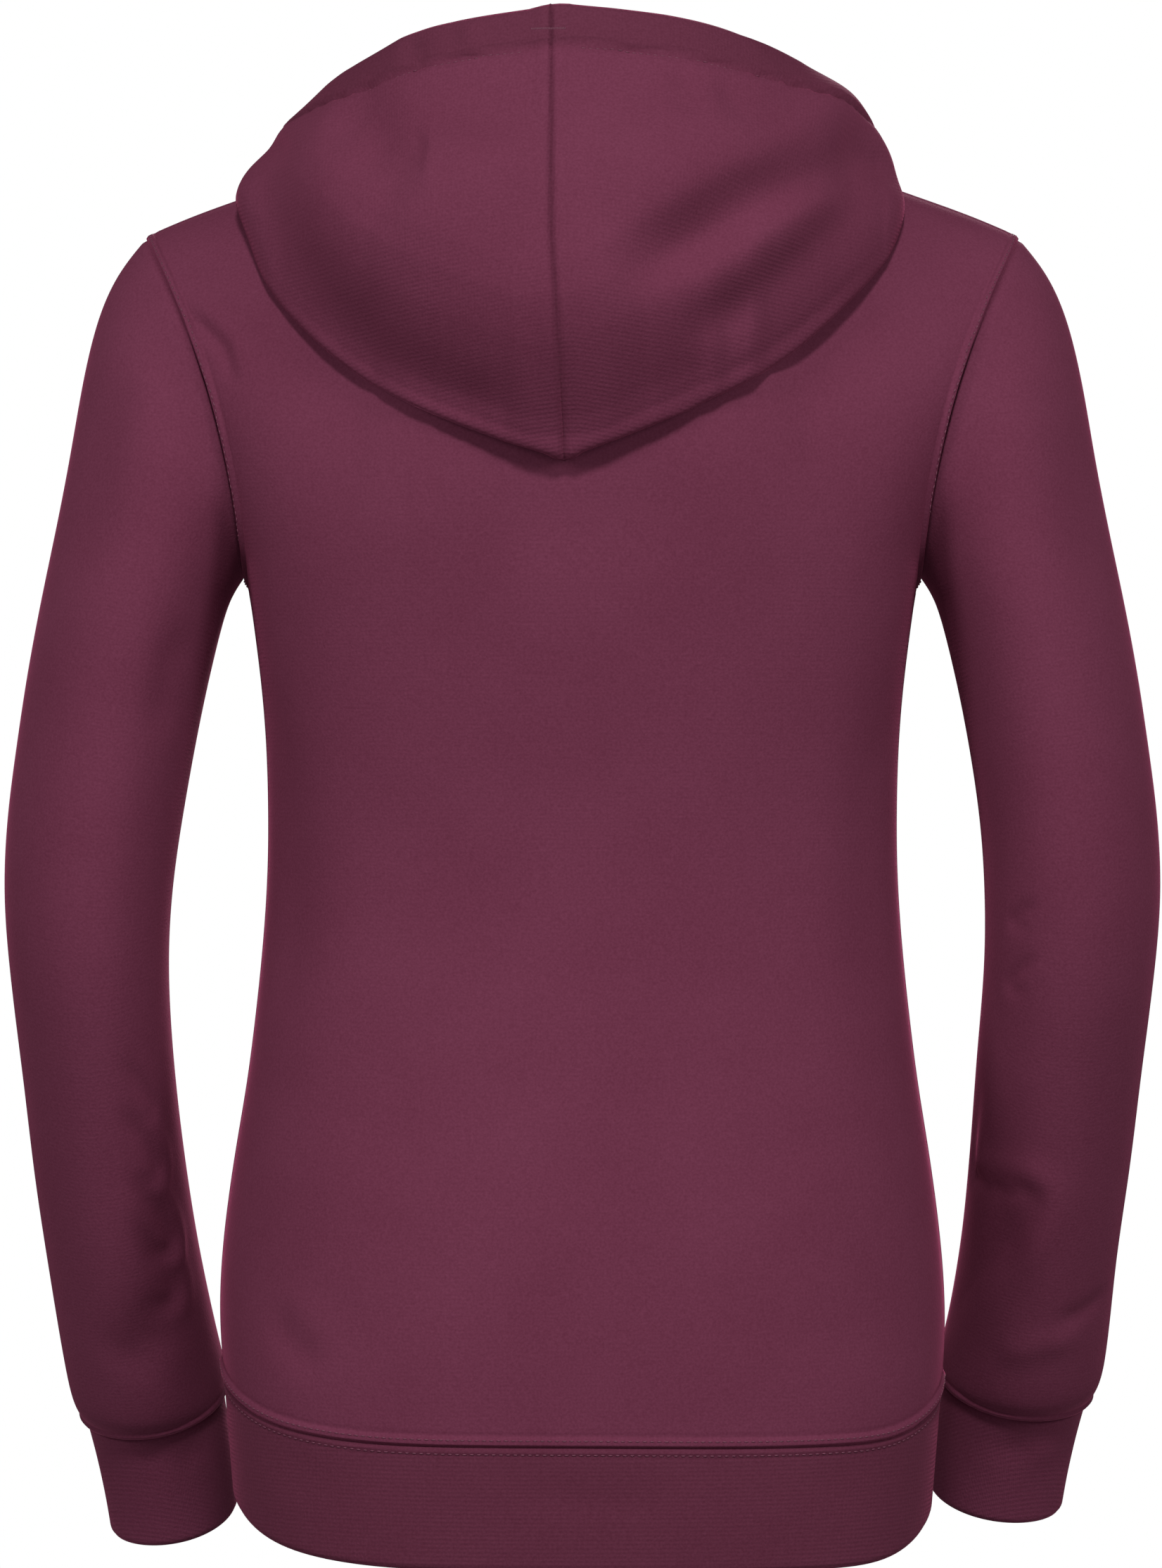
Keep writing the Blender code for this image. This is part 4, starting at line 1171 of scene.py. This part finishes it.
def tooth_mesh():
    """One tooth, lying across the zip with its head at +X, a little thinner at its neck."""
    bm = bmesh.new()
    rounded_box(bm, (TOOTH_LENGTH, TOOTH_DEPTH, TOOTH_THICKNESS), Matrix(), TOOTH_ROUNDING)
    for vert in bm.verts:
        if vert.co.x < 0:
            vert.co.z *= TOOTH_NECK
    return to_mesh(bm, "tooth")


def finish_metal(bm, name, body):
    """A finished metal piece, which moves with a body. Only its rounded edges are smooth."""
    mesh = to_mesh(bm, name)
    mesh.shade_smooth()
    mesh.set_sharp_from_angle(angle=CREASED)
    for face in mesh.polygons:
        face.use_smooth = face.area < FLAT_FACE / 1e6
    mesh.materials.append(NICKEL)
    obj = new_object(name, mesh)
    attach(obj, body)
    return obj


def chain_line():
    """The middle line of the closed teeth, down the front of the garment, in metres."""
    tree = solid_tree("zip_chain")
    places = [vert.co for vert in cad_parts["zip_chain"].data.vertices]
    low = min(place.z for place in places) + CHAIN_ENDS[0] / 1000
    high = max(place.z for place in places) - CHAIN_ENDS[1] / 1000
    in_front = min(place.y for place in places) - 0.05   # clear of the teeth
    line = []
    for i in range(CHAIN_STEPS + 1):
        z = high + (low - high) * i / CHAIN_STEPS
        hit = tree.ray_cast(Vector((0, in_front, z)), Vector((0, 1, 0)))[0]
        if hit:
            line.append(hit + Vector((0, TOOTH_DEPTH / 2000, 0)))
    return line


NICKEL = nickel()

bm = bmesh.new()
tooth = tooth_mesh()
places = even_steps(chain_line(), TOOTH_STEP / 2)
for i, (place, way) in enumerate(places):
    side = 1 if i % 2 else -1
    across = Vector((-side, 0, 0))
    depth = way.cross(across).normalized()
    turn = Matrix((across, depth, way)).transposed().to_4x4()
    turn.translation = place - across * (TOOTH_LENGTH / 2 - TOOTH_BEYOND) / 1000
    copy = tooth.copy()
    copy.transform(turn)
    if turn.determinant() < 0:
        copy.flip_normals()
    bm.from_mesh(copy)
    bpy.data.meshes.remove(copy)
foot = places[-1][0] + mm(*FOOT_PLACE)
rounded_box(bm, FOOT_BOX, Matrix.Translation(foot), FOOT_ROUNDING)
teeth = finish_metal(bm, "zip_teeth", "garment")
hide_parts("zip_chain")


# ------------------------------------------------------------------ zip slider and pull
# The slider is a nickel-plated casting that holds the two rows together at the top of the zip.
# Its pull is a flat stamped tab that turns up and down on the slider's bridge.

SLIDER_ROUNDING = 0.25
PULL_ROUNDING = 0.2
METAL_WELD = 0.01           # points of the solid this close are one
SAME_PLANE = radians(0.2)   # faces that meet flatter than this become one
SHARP = radians(35)         # edges sharper than this are rounded


def softened(name, radius):
    """A copy of a hard solid with its sharp edges rounded by a radius in millimetres."""
    bm = bmesh.new()
    bm.from_mesh(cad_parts[name].data)
    bmesh.ops.remove_doubles(bm, verts=bm.verts, dist=METAL_WELD / 1000)
    bmesh.ops.dissolve_limit(bm, angle_limit=SAME_PLANE, verts=bm.verts, edges=bm.edges)
    bm.normal_update()
    sharp = [edge for edge in bm.edges if edge.calc_face_angle(0) > SHARP]
    bmesh.ops.bevel(bm, geom=sharp, offset=radius / 1000, affect="EDGES", segments=2,
                    profile=0.5, material=-1, clamp_overlap=True)
    return bm


slider = finish_metal(softened("zip_slider", SLIDER_ROUNDING), "zip_slider_cast", "garment")
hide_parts("zip_slider")
pull = finish_metal(softened("zip_pull", PULL_ROUNDING), "zip_pull_tab", "pull_tab")
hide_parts("zip_pull")
